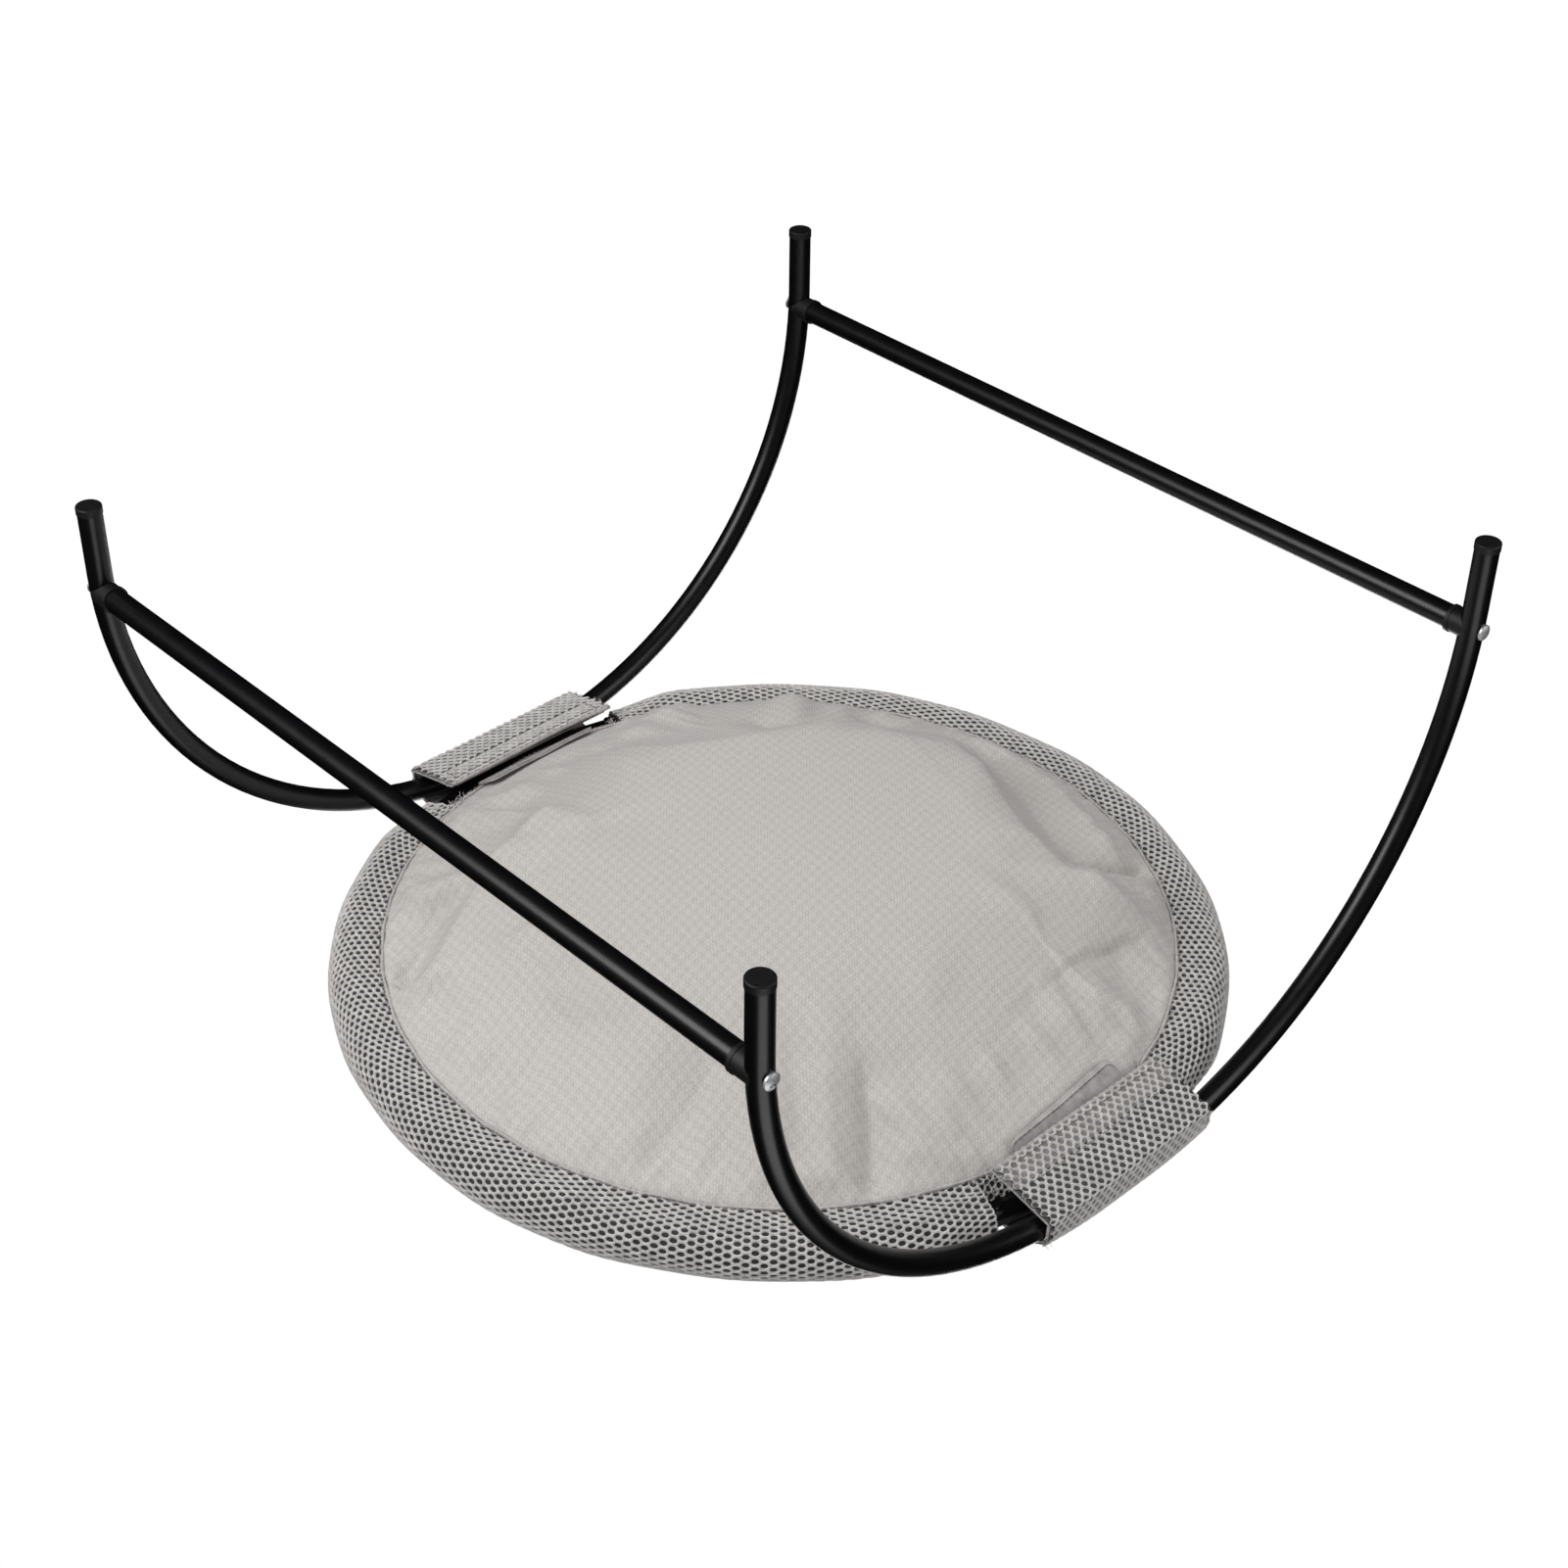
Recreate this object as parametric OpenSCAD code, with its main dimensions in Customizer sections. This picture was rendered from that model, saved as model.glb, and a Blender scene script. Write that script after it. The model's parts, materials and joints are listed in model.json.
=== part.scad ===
// Raised round pet bed: a padded cloth basin sewn to a steel hoop, strapped between two bent leg
// tubes that two crossbars hold apart. X runs along the crossbars, Y across them, Z is up, and the
// origin is on the floor under the middle of the bed.

/* [Tubes] */
// Outside diameter of every steel tube
tube_d = 12; // [10:0.5:15]
// Wall of every steel tube
tube_wall = 1.2; // [0.8:0.1:1.8]

/* [Hoop] */
// Diameter of the hoop, on the centre line of its tube
hoop_d = 436; // [340:1:540]
// Length of the swaged end that joins one half of the hoop to the other, beyond its rivet
spigot_tail = 11; // [6:1:20]

/* [Legs] */
// Straight length of a leg, from the floor to the start of the bend
foot_len = 38; // [25:1:80]
// Straight length at the top of a leg, where it lies beside the hoop
crown_len = 28; // [16:1:60]
// Height of the crossbars above the floor
bar_height = 47; // [34:1:70]
// Gap between a leg tube and the hoop tube
side_gap = 0.5; // [0.3:0.1:2]

/* [Foot caps and plugs] */
// Height of the visible lip of a foot cap
cap_lip = 4; // [2.5:0.5:6]
// Extra diameter of a foot cap's lip over the tube
cap_extra = 0.6; // [0.2:0.1:2]
// Length of a crossbar plug between the crossbar and the leg
collar_len = 6; // [4:0.5:12]
// Length of a plug's or cap's stem inside its tube
stem_len = 18; // [8:1:30]

/* [Fasteners] */
// Diameter of the leg screws
screw_d = 4; // [3:0.5:5]
// Diameter of a leg screw's head
screw_head_d = 8; // [7:0.5:10]
// Height of a leg screw's head
screw_head_h = 2.4; // [1.8:0.1:3.5]
// Diameter of the hoop rivets
rivet_d = 3.2; // [2.4:0.1:4]

/* [Rim sleeve] */
// Outside diameter of the mesh sleeve round the hoop
sleeve_d = 27.8; // [22:0.2:36]
// Thickness of the spacer mesh
mesh_t = 3.6; // [2:0.1:4.5]
// Length of bare hoop that the sleeve leaves at each strap
rim_gap = 128; // [110:1:200]
// Distance of the basin seam inside the hoop's centre line
seam_inset = 14; // [11:0.5:20]
// Depth of the basin seam below the hoop's centre line
seam_drop = 13; // [8:0.5:18]

/* [Basin] */
// Depth of the basin below its seam
basin_depth = 52; // [25:1:90]
// Thickness of the wadding at the middle of the basin
pad_t = 16; // [6:1:22]
// Thickness of the cloth under the basin and of the lining on top
cloth_t = 1.2; // [0.6:0.1:2]

/* [Straps] */
// Length of each strap along the tubes
strap_len = 114; // [70:1:124]
// Thickness of the strap's mesh
strap_t = 2.4; // [1.5:0.1:3]
// Thickness of the strap's loop lining
lining_t = 0.8; // [0.5:0.1:1.2]
// Width of the strip of hook tape on the flap
hook_w = 12; // [8:1:16]
// Distance that the loop tab reaches in from the seam
tab_reach = 16; // [10:1:24]
// Length of the loop tab along the seam
tab_len = 78; // [50:1:100]

/* [Hidden] */
$fn = 96;

// Clearance of a stem, shank or wrap that lies against another piece
fit = 0.05;
// Clearance between pieces that move past each other
run = 0.45;

tube_r = tube_d / 2;
bore_r = tube_r - tube_wall;
hoop_r = hoop_d / 2;
leg_x = hoop_r + tube_d + side_gap;
bend_r = hoop_r - 3;
foot_y = crown_len / 2 + bend_r;
bend_z = foot_len + bend_r;
hoop_z = bend_z;

bar_half = leg_x - tube_r - collar_len;
plug_r = tube_r + 0.5;
plug_ring = 2;
screw_len = tube_d + collar_len + stem_len / 2;

seam_r = hoop_r - seam_inset;
seam_z = hoop_z - seam_drop;
seam_h = 5;
sleeve_r = sleeve_d / 2;
gap_angle = asin(rim_gap / 2 / hoop_r);
// The hoop's rivets show between the end of a strap and the end of a sleeve
rivet_angle = asin((strap_len + rim_gap) / 4 / hoop_r);
// The wadding round the hoop stops this far inside each end of the sleeve
foam_setback = 18;
foam_angle = gap_angle + foam_setback / hoop_r * 180 / PI;

// Sags of the basin's three curved faces, each from its own height at the seam
cloth_rim_z = seam_z - seam_h / 2 + 0.3;
pad_rim_z = cloth_rim_z + cloth_t + fit;
pad_top_rim_z = seam_z + seam_h / 2 - cloth_t - 0.3;
pad_sag = basin_depth - pad_t + pad_top_rim_z - pad_rim_z;

// Cavity of the strap round the two tubes. A leg drops and the hoop turns inwards towards the
// strap's ends, so the cavity clears both tubes there.
strap_half = strap_len / 2;
leg_drop = bend_r - sqrt(pow(bend_r, 2) - pow(max(0, strap_half - crown_len / 2), 2));
hoop_turn = hoop_r - sqrt(pow(hoop_r, 2) - pow(strap_half, 2));
cavity_in = hoop_r - hoop_turn - tube_r - 0.6;
cavity_out = leg_x + tube_r + 0.6;
cavity_top = hoop_z + tube_r + 0.6;
strap_foot_z = seam_z + seam_h / 2 + 0.4;

// The flap hinges on the lower outer edge of the strap and slopes down to the loop tab
flap_t = strap_t + lining_t;
hinge_x = cavity_out + flap_t / 2;
hinge_z = min(hoop_z - tube_r - leg_drop, strap_foot_z) - run - flap_t / 2;
hook_t = 1.4;
tab_t = 1.5;
tab_slope = atan(2 * basin_depth / seam_r);
tab_top_z = cloth_rim_z - 0.4;
flap_edge_x = seam_r - 1;
flap_edge_z = tab_top_z - tab_t - hook_t - flap_t / 2 - 1.2;
flap_w = norm([hinge_x - flap_edge_x, hinge_z - flap_edge_z]);
flap_slope = atan2(hinge_z - flap_edge_z, hinge_x - flap_edge_x);

// Colours
steel = [0.05, 0.05, 0.055];
plastic = [0.08, 0.08, 0.08];
zinc = [0.85, 0.86, 0.87];
mesh_grey = [0.68, 0.68, 0.67];
cloth_grey = [0.76, 0.74, 0.72];
velvet_grey = [0.7, 0.69, 0.68];
foam_white = [0.9, 0.9, 0.88];

// ---- Shared shapes ----

// Straight rod along Z
module rod(r, len) {
    cylinder(h = len, r = r);
}

// Part of a ring about Z with a round section, from one angle to another
module ring_arc(radius, r, from, to) {
    rotate([0, 0, from])
        rotate_extrude(angle = to - from)
            translate([radius, 0])
                circle(r = r);
}

// Half of one leg: straight foot, quarter bend and half of the crown, with the foot at +Y
module half_leg(r, x, low) {
    translate([x, foot_y, low])
        rod(r, foot_len - low);
    translate([x, crown_len / 2, foot_len])
        rotate([90, 0, 90])
            rotate_extrude(angle = 90)
                translate([bend_r, 0])
                    circle(r = r);
    translate([x, crown_len / 2, bend_z])
        rotate([90, 0, 0])
            rod(r, crown_len / 2);
}

// Whole leg tube's shape, filled, at distance x from the middle
module leg_shape(r, x, low) {
    half_leg(r, x, low);
    mirror([0, 1, 0])
        half_leg(r, x, low);
}

// Places a child at one corner: sx is -1 for left, sy is -1 for front
module at_corner(sx, sy) {
    mirror([sx < 0 ? 1 : 0, 0, 0])
        mirror([0, sy < 0 ? 1 : 0, 0])
            children();
}

// Places a child made for the right-hand side on either side, turned round the bed's middle
module on_side(sx) {
    rotate([0, 0, sx < 0 ? 180 : 0])
        children();
}

// Rectangle with rounded upper corners, from its low corner to its high corner
module round_top_2d(low, high, r) {
    translate(low)
        square([high[0] - low[0], high[1] - low[1] - r]);
    translate([low[0] + r, low[1]])
        square([high[0] - low[0] - 2 * r, high[1] - low[1]]);
    for (x = [low[0] + r, high[0] - r])
        translate([x, high[1] - r])
            circle(r = r);
}

// Extrudes an X-Z outline along Y, centred on the middle of the bed
module along_y(len) {
    translate([0, len / 2, 0])
        rotate([90, 0, 0])
            linear_extrude(height = len)
                children();
}

// Ball whose lower cap meets height rim_z at the seam and sags below it there
module basin_ball(rim_z, sag, less = 0) {
    ball_r = (pow(seam_r, 2) + pow(sag, 2)) / (2 * sag);
    translate([0, 0, rim_z - sag + ball_r])
        sphere(r = ball_r - less, $fn = 180);
}

// Everything inside the seam, from below the basin up to the height given
module inside_seam(top) {
    translate([0, 0, seam_z - basin_depth - 20])
        cylinder(h = top - seam_z + basin_depth + 20, r = seam_r - fit, $fn = 180);
}

// ---- Steel frame ----

// Bent leg tube with a screw hole through each foot
module leg_tube(sx) {
    color(steel)
        on_side(sx)
            difference() {
                leg_shape(tube_r, leg_x, cap_lip);
                leg_shape(bore_r, leg_x, cap_lip - 1);
                for (sy = [-1, 1])
                    translate([leg_x - tube_d, sy * foot_y, bar_height])
                        rotate([0, 90, 0])
                            rod(screw_d / 2 + 0.2, 2 * tube_d);
            }
}

// Straight crossbar tube
module crossbar(sy) {
    color(steel)
        translate([-bar_half, sy * foot_y, bar_height])
            rotate([0, 90, 0])
                difference() {
                    rod(tube_r, 2 * bar_half);
                    translate([0, 0, -1])
                        rod(bore_r, 2 * bar_half + 2);
                }
}

// Plastic plug in a crossbar's end, saddled to the leg tube
module saddle_plug(sx, sy) {
    color(plastic)
        at_corner(sx, sy)
            difference() {
                translate([bar_half, foot_y, bar_height])
                    rotate([0, 90, 0]) {
                        rod(plug_r + 0.4, plug_ring);
                        rod(plug_r, collar_len + tube_r);
                        translate([0, 0, -stem_len])
                            rod(bore_r - fit, stem_len + 1);
                    }
                half_leg(tube_r + fit, leg_x, cap_lip);
                translate([bar_half - stem_len - 1, foot_y, bar_height])
                    rotate([0, 90, 0])
                        rod(screw_d / 2, 2 * stem_len + collar_len);
            }
}

// Pan-head screw with a cross recess, through a leg tube into its plug
module leg_screw(sx, sy) {
    recess_l = screw_head_d * 0.6;
    recess_w = 1.1;
    recess_h = screw_head_h * 0.6;
    color(zinc)
        at_corner(sx, sy)
            translate([leg_x + tube_r, foot_y, bar_height])
                rotate([0, 90, 0])
                    difference() {
                        union() {
                            screw_head();
                            translate([0, 0, -screw_len])
                                rod(screw_d / 2 - fit, screw_len + 1);
                        }
                        for (a = [0, 90])
                            rotate([0, 0, a + 20])
                                translate([-recess_l / 2, -recess_w / 2, screw_head_h - recess_h])
                                    cube([recess_l, recess_w, screw_head_h]);
                    }
}

// Head of a leg screw: a short rim under a shallow dome
module screw_head() {
    rim = screw_head_h * 0.45;
    dome = screw_head_h - rim;
    dome_r = (pow(screw_head_d / 2, 2) + pow(dome, 2)) / (2 * dome);
    rod(screw_head_d / 2, rim);
    intersection() {
        rod(screw_head_d / 2, screw_head_h);
        translate([0, 0, screw_head_h - dome_r])
            sphere(r = dome_r);
    }
}

// Plastic cap in the end of a leg, with a stem in the bore and a rounded lip on the floor
module foot_cap(sx, sy) {
    lip_r = tube_r + cap_extra / 2;
    round_r = 0.8;
    color(plastic)
        at_corner(sx, sy)
            translate([leg_x, foot_y, 0]) {
                translate([0, 0, round_r])
                    rod(lip_r, cap_lip - fit - round_r);
                rod(lip_r - round_r, round_r);
                rotate_extrude()
                    intersection() {
                        translate([lip_r - round_r, round_r])
                            circle(r = round_r);
                        square([lip_r, round_r]);
                    }
                rod(bore_r - fit, cap_lip + stem_len);
            }
}

// ---- Hoop ----

// Half of the hoop: a tube with one swaged end that slides into the other half
module hoop_half(sy) {
    spigot_angle = rivet_angle + spigot_tail / hoop_r * 180 / PI;
    neck_angle = 1;
    spigot_r = bore_r - fit;
    color(steel)
        rotate([0, 0, sy < 0 ? 180 : 0])
            translate([0, 0, hoop_z])
                difference() {
                    union() {
                        ring_arc(hoop_r, tube_r, 0.02, 179.98);
                        ring_arc(hoop_r, spigot_r, 180 - neck_angle, 180 + spigot_angle);
                    }
                    ring_arc(hoop_r, bore_r, -1, 180 - neck_angle);
                    ring_arc(hoop_r, spigot_r - 1, 179 - neck_angle, 181 + spigot_angle);
                    for (a = [rivet_angle, 180 + rivet_angle])
                        rotate([0, 0, a])
                            translate([hoop_r, 0, -tube_d])
                                rod(rivet_d / 2 + fit, 2 * tube_d);
                }
}

// Rivet through the joint of the hoop, with a domed head below and a set head above
module hoop_rivet(sx) {
    head_r = rivet_d * 0.8;
    head_h = 1;
    color(steel)
        on_side(sx)
            rotate([0, 0, rivet_angle])
                translate([hoop_r, 0, hoop_z]) {
                    translate([0, 0, -tube_r - head_h])
                        rod(head_r, head_h);
                    translate([0, 0, -tube_r - head_h / 2])
                        rod(rivet_d / 2, tube_d + head_h);
                    translate([0, 0, tube_r])
                        rod(head_r, head_h / 2);
                }
}

// Foam wrapped round the hoop inside the sleeve
module hoop_foam(sy) {
    color(foam_white)
        rotate([0, 0, sy < 0 ? 180 : 0])
            translate([0, 0, hoop_z])
                difference() {
                    ring_arc(hoop_r, sleeve_r - mesh_t - fit, foam_angle, 180 - foam_angle);
                    ring_arc(hoop_r, tube_r + fit, foam_angle - 1, 181 - foam_angle);
                }
}

// Section of the sleeve: a ring of mesh drawn in to the seam with the basin
module sleeve_2d() {
    reach = norm([seam_inset, seam_drop]);
    lean = 180 + atan2(seam_drop, seam_inset);
    spread = acos(sleeve_r / reach);
    root_r = sleeve_r - mesh_t / 4;
    difference() {
        union() {
            circle(r = sleeve_r);
            polygon([
                [-seam_inset, -seam_drop - seam_h / 2],
                root_r * [cos(lean + spread), sin(lean + spread)],
                root_r * [cos(lean - spread), sin(lean - spread)],
                [-seam_inset, -seam_drop + seam_h / 2]
            ]);
        }
        circle(r = sleeve_r - mesh_t);
    }
}

// Mesh sleeve over one half of the hoop
module mesh_sleeve(sy) {
    color(mesh_grey)
        rotate([0, 0, (sy < 0 ? 180 : 0) + gap_angle])
            translate([0, 0, hoop_z])
                rotate_extrude(angle = 180 - 2 * gap_angle, $fn = 180)
                    translate([hoop_r, 0])
                        sleeve_2d();
}

// ---- Basin ----

// Cloth that hangs under the basin
module under_cloth() {
    color(cloth_grey)
        intersection() {
            difference() {
                basin_ball(cloth_rim_z, basin_depth);
                basin_ball(cloth_rim_z, basin_depth, cloth_t);
            }
            inside_seam(pad_rim_z + cloth_t);
        }
}

// Wadding between the cloth and the lining
module fill_pad() {
    color(foam_white)
        intersection() {
            difference() {
                basin_ball(cloth_rim_z, basin_depth, cloth_t + fit);
                basin_ball(pad_top_rim_z, pad_sag);
            }
            inside_seam(pad_top_rim_z);
        }
}

// Lining that the animal lies on
module top_lining() {
    color(cloth_grey)
        intersection() {
            difference() {
                basin_ball(pad_top_rim_z, pad_sag, fit);
                basin_ball(pad_top_rim_z, pad_sag, fit + cloth_t);
            }
            inside_seam(pad_top_rim_z + cloth_t);
        }
}

// ---- Straps ----

// Outline between two offsets of the cavity, open at the bottom
module wrap_2d(inner, outer) {
    corner_r = 6;
    difference() {
        round_top_2d(
            [cavity_in - outer, strap_foot_z],
            [cavity_out + outer, cavity_top + outer],
            corner_r + outer
        );
        round_top_2d(
            [cavity_in - inner, strap_foot_z - 1],
            [cavity_out + inner, cavity_top + inner],
            corner_r + inner
        );
    }
}

// The strap's outer side runs down to the flap
module wrap_side_2d(inner, outer) {
    translate([cavity_out + inner, hinge_z + flap_t / 2 + run])
        square([outer - inner, strap_foot_z - hinge_z - flap_t / 2 - run + 0.5]);
}

// Mesh strap over the hoop tube and the leg tube
module strap(sx) {
    color(mesh_grey)
        on_side(sx)
            along_y(strap_len) {
                wrap_2d(lining_t, flap_t);
                wrap_side_2d(lining_t, flap_t);
            }
}

// Loop lining inside the strap
module strap_lining(sx) {
    color(velvet_grey)
        on_side(sx)
            along_y(strap_len) {
                wrap_2d(0, lining_t - 0.02);
                wrap_side_2d(0, lining_t - 0.02);
            }
}

// Puts a child outline in the flap's own plane: X from the hinge to the free edge, Y outwards
module in_flap_plane() {
    translate([hinge_x, hinge_z])
        rotate(180 + flap_slope)
            children();
}

// Mesh of the flap, round at its hinge
module flap(sx) {
    color(mesh_grey)
        on_side(sx)
            along_y(strap_len)
                in_flap_plane()
                    difference() {
                        union() {
                            circle(r = flap_t / 2);
                            translate([0, -flap_t / 2])
                                square([flap_w, flap_t]);
                        }
                        translate([flap_t, -flap_t])
                            square([flap_w, flap_t / 2 + lining_t + 0.02]);
                    }
}

// Loop lining on the inner face of the flap
module flap_lining(sx) {
    color(velvet_grey)
        on_side(sx)
            along_y(strap_len)
                in_flap_plane()
                    translate([flap_t + fit, -flap_t / 2])
                        square([flap_w - flap_t - fit, lining_t]);
}

// Hook tape sewn to the free edge of the flap
module hook_tape(sx) {
    side_margin = 4;
    edge_margin = 1;
    color(plastic)
        on_side(sx)
            along_y(strap_len - 2 * side_margin)
                in_flap_plane()
                    translate([flap_w - edge_margin - hook_w, -flap_t / 2 - hook_t])
                        square([hook_w, hook_t - 0.02]);
}

// Loop tab under the basin, which the flap's hook tape grips
module loop_tab(sx) {
    tab_w = tab_reach / cos(tab_slope);
    tab_under = 6;
    color(velvet_grey)
        on_side(sx)
            along_y(tab_len)
                translate([seam_r, tab_top_z])
                    rotate(tab_slope)
                        translate([-tab_w, -tab_t])
                            square([tab_w + tab_under, tab_t]);
}

leg_tube(-1);  // leg_tube_left
leg_tube(1);  // leg_tube_right
crossbar(-1);  // crossbar_front
crossbar(1);  // crossbar_rear
saddle_plug(-1, -1);  // saddle_plug_front_left
saddle_plug(1, -1);  // saddle_plug_front_right
saddle_plug(-1, 1);  // saddle_plug_rear_left
saddle_plug(1, 1);  // saddle_plug_rear_right
leg_screw(-1, -1);  // leg_screw_front_left
leg_screw(1, -1);  // leg_screw_front_right
leg_screw(-1, 1);  // leg_screw_rear_left
leg_screw(1, 1);  // leg_screw_rear_right
foot_cap(-1, -1);  // foot_cap_front_left
foot_cap(1, -1);  // foot_cap_front_right
foot_cap(-1, 1);  // foot_cap_rear_left
foot_cap(1, 1);  // foot_cap_rear_right
hoop_half(-1);  // hoop_half_front
hoop_half(1);  // hoop_half_rear
hoop_rivet(-1);  // hoop_rivet_left
hoop_rivet(1);  // hoop_rivet_right
hoop_foam(-1);  // hoop_foam_front
hoop_foam(1);  // hoop_foam_rear
mesh_sleeve(-1);  // mesh_sleeve_front
mesh_sleeve(1);  // mesh_sleeve_rear
under_cloth();
fill_pad();
top_lining();
strap(-1);  // strap_left
strap(1);  // strap_right
strap_lining(-1);  // strap_lining_left
strap_lining(1);  // strap_lining_right
flap(-1);  // flap_left
flap(1);  // flap_right
flap_lining(-1);  // flap_lining_left
flap_lining(1);  // flap_lining_right
hook_tape(-1);  // hook_tape_left
hook_tape(1);  // hook_tape_right
loop_tab(-1);  // loop_tab_left
loop_tab(1);  // loop_tab_right
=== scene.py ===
"""Looks of the raised round pet bed: a padded cloth basin in a mesh-covered hoop, strapped to a steel frame."""

import json
import math

import bmesh
import bpy
import numpy as np
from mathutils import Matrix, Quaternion, Vector


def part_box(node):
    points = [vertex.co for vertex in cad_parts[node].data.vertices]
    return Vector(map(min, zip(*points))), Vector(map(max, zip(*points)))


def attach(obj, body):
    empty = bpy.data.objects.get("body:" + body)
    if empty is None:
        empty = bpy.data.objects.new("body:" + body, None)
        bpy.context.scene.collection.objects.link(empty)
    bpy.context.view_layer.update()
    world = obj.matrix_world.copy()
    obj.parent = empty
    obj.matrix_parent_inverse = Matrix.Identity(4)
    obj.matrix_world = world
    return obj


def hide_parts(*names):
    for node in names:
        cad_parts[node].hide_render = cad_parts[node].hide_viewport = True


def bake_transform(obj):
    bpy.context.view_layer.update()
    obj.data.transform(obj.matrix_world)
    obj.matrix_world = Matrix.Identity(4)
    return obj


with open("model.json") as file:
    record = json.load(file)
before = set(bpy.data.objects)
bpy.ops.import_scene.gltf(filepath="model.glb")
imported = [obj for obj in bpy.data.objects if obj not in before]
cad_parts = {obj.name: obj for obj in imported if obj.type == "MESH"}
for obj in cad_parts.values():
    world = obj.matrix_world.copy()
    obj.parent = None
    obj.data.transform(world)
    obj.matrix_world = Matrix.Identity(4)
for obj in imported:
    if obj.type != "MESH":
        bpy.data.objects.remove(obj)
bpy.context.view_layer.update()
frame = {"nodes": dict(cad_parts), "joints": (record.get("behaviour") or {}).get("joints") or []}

MM = 0.001
STILL = "frame_and_bed"

# ---- Places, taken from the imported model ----

low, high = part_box("hoop_half_rear")
TUBE_R = (high.z - low.z) / 2
HOOP_Z = (high.z + low.z) / 2
HOOP_R = high.x - TUBE_R
low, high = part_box("leg_tube_right")
LEG_X = (low.x + high.x) / 2
LEG_TOP_Z = high.z - TUBE_R
FOOT_Y = high.y - TUBE_R
low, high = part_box("mesh_sleeve_rear")
SLEEVE_R = high.z - HOOP_Z
GAP_HALF = low.y
# The seam lies a little way up the sleeve's sewn edge
SEAM_LOW_Z = low.z + 2.6 * MM
low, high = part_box("under_cloth")
SEAM_R = high.x
RIM_Z = high.z
BASIN_Z = low.z
low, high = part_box("top_lining")
LINING_LOW_Z = low.z
LINING_RIM_Z = high.z
low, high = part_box("strap_right")
STRAP_HALF = high.y
STRAP_FOOT_Z = low.z
low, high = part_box("flap_right")
FLAP_EDGE_X = low.x
low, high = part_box("loop_tab_right")
TAB_HALF = high.y
TAB_IN_X = low.x
TAB_LOW_Z = low.z
HINGE = Vector([j for j in frame["joints"] if j["name"] == "flap_right_open"][0]["pos_m"])

# Bend and crown of a leg, as in the part's source
LEG_BEND_R = 215 * MM
CROWN_HALF = FOOT_Y - LEG_BEND_R


# ---- Small helpers ----

def linear(code):
    """Linear colour of an sRGB hex code."""
    parts = [int(code[i:i + 2], 16) / 255 for i in (1, 3, 5)]
    return tuple(c / 12.92 if c <= 0.04045 else ((c + 0.055) / 1.055) ** 2.4 for c in parts) + (1.0,)


def add(tree, kind, inputs=None, **settings):
    """Adds one node with its properties. Each input is a value, an output, or a node, for its first output."""
    made = tree.nodes.new("ShaderNode" + kind)
    for name, value in settings.items():
        setattr(made, name, value)
    for socket, value in (inputs or {}).items():
        if isinstance(value, bpy.types.Node):
            value = value.outputs[0]
        if isinstance(value, bpy.types.NodeSocket):
            tree.links.new(value, made.inputs[socket])
        else:
            made.inputs[socket].default_value = value
    return made


def bare_tree(owner):
    """The node tree of a material or world, emptied."""
    owner.use_nodes = True
    owner.node_tree.nodes.clear()
    return owner.node_tree


def finish_of(name, roughness, metallic=0.0, sheen=0.0, sheen_roughness=0.5):
    """A new material with one shader; returns it, its nodes, the shader and places on the object."""
    material = bpy.data.materials.new(name)
    tree = bare_tree(material)
    shader = add(tree, "BsdfPrincipled", {
        "Roughness": roughness, "Metallic": metallic, "Sheen Weight": sheen, "Sheen Roughness": sheen_roughness})
    add(tree, "OutputMaterial", {"Surface": shader.outputs["BSDF"]})
    place = add(tree, "TexCoord").outputs["Object"]
    return material, tree, shader, place


def grain(tree, place, size, detail=2.0, rough=0.5):
    """Noise whose grains are about size across, in metres."""
    sockets = {"Vector": place, "Scale": 1 / size, "Detail": detail, "Roughness": rough}
    return add(tree, "TexNoise", sockets).outputs["Fac"]


def shade(tree, amount, dark, light, start=0.3, end=0.7):
    """A colour between dark and light as amount goes from start to end."""
    share = add(tree, "MapRange", {"Value": amount, "From Min": start, "From Max": end})
    sockets = {"Factor": share.outputs["Result"], "A": linear(dark), "B": linear(light)}
    return add(tree, "Mix", sockets, data_type="RGBA").outputs["Result"]


def feed(tree, shader, colour, raised):
    """Gives a shader its colour and the bump node that roughens it."""
    tree.links.new(colour, shader.inputs["Base Color"])
    tree.links.new(raised.outputs["Normal"], shader.inputs["Normal"])


def powder_coated_steel():
    """Steel tube with baked black powder coat: deep black, a soft sheen and a very fine orange peel."""
    material, tree, shader, place = finish_of("powder_coated_steel", 0.36)
    cloudy = grain(tree, place, 9 * MM)
    matt = add(tree, "MapRange", {
        "Value": grain(tree, place, 4 * MM, 4.0), "To Min": 0.3, "To Max": 0.38})
    tree.links.new(matt.outputs["Result"], shader.inputs["Roughness"])
    peel = add(tree, "Bump", {
        "Height": grain(tree, place, 0.7 * MM, 1.0), "Strength": 0.25, "Distance": 0.05 * MM})
    feed(tree, shader, shade(tree, cloudy, "#070608", "#0C0B0D"), peel)
    return material


def moulded_plastic():
    """Moulded black polyethylene: a little greyer and more matt than the tubes, with a fine sparked grain."""
    material, tree, shader, place = finish_of("moulded_black_polyethylene", 0.55)
    spark = add(tree, "Bump", {
        "Height": grain(tree, place, 0.35 * MM, 3.0), "Strength": 0.4, "Distance": 0.06 * MM})
    feed(tree, shader, shade(tree, grain(tree, place, 3 * MM, 3.0), "#0C0C0D", "#151516"), spark)
    return material


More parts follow.
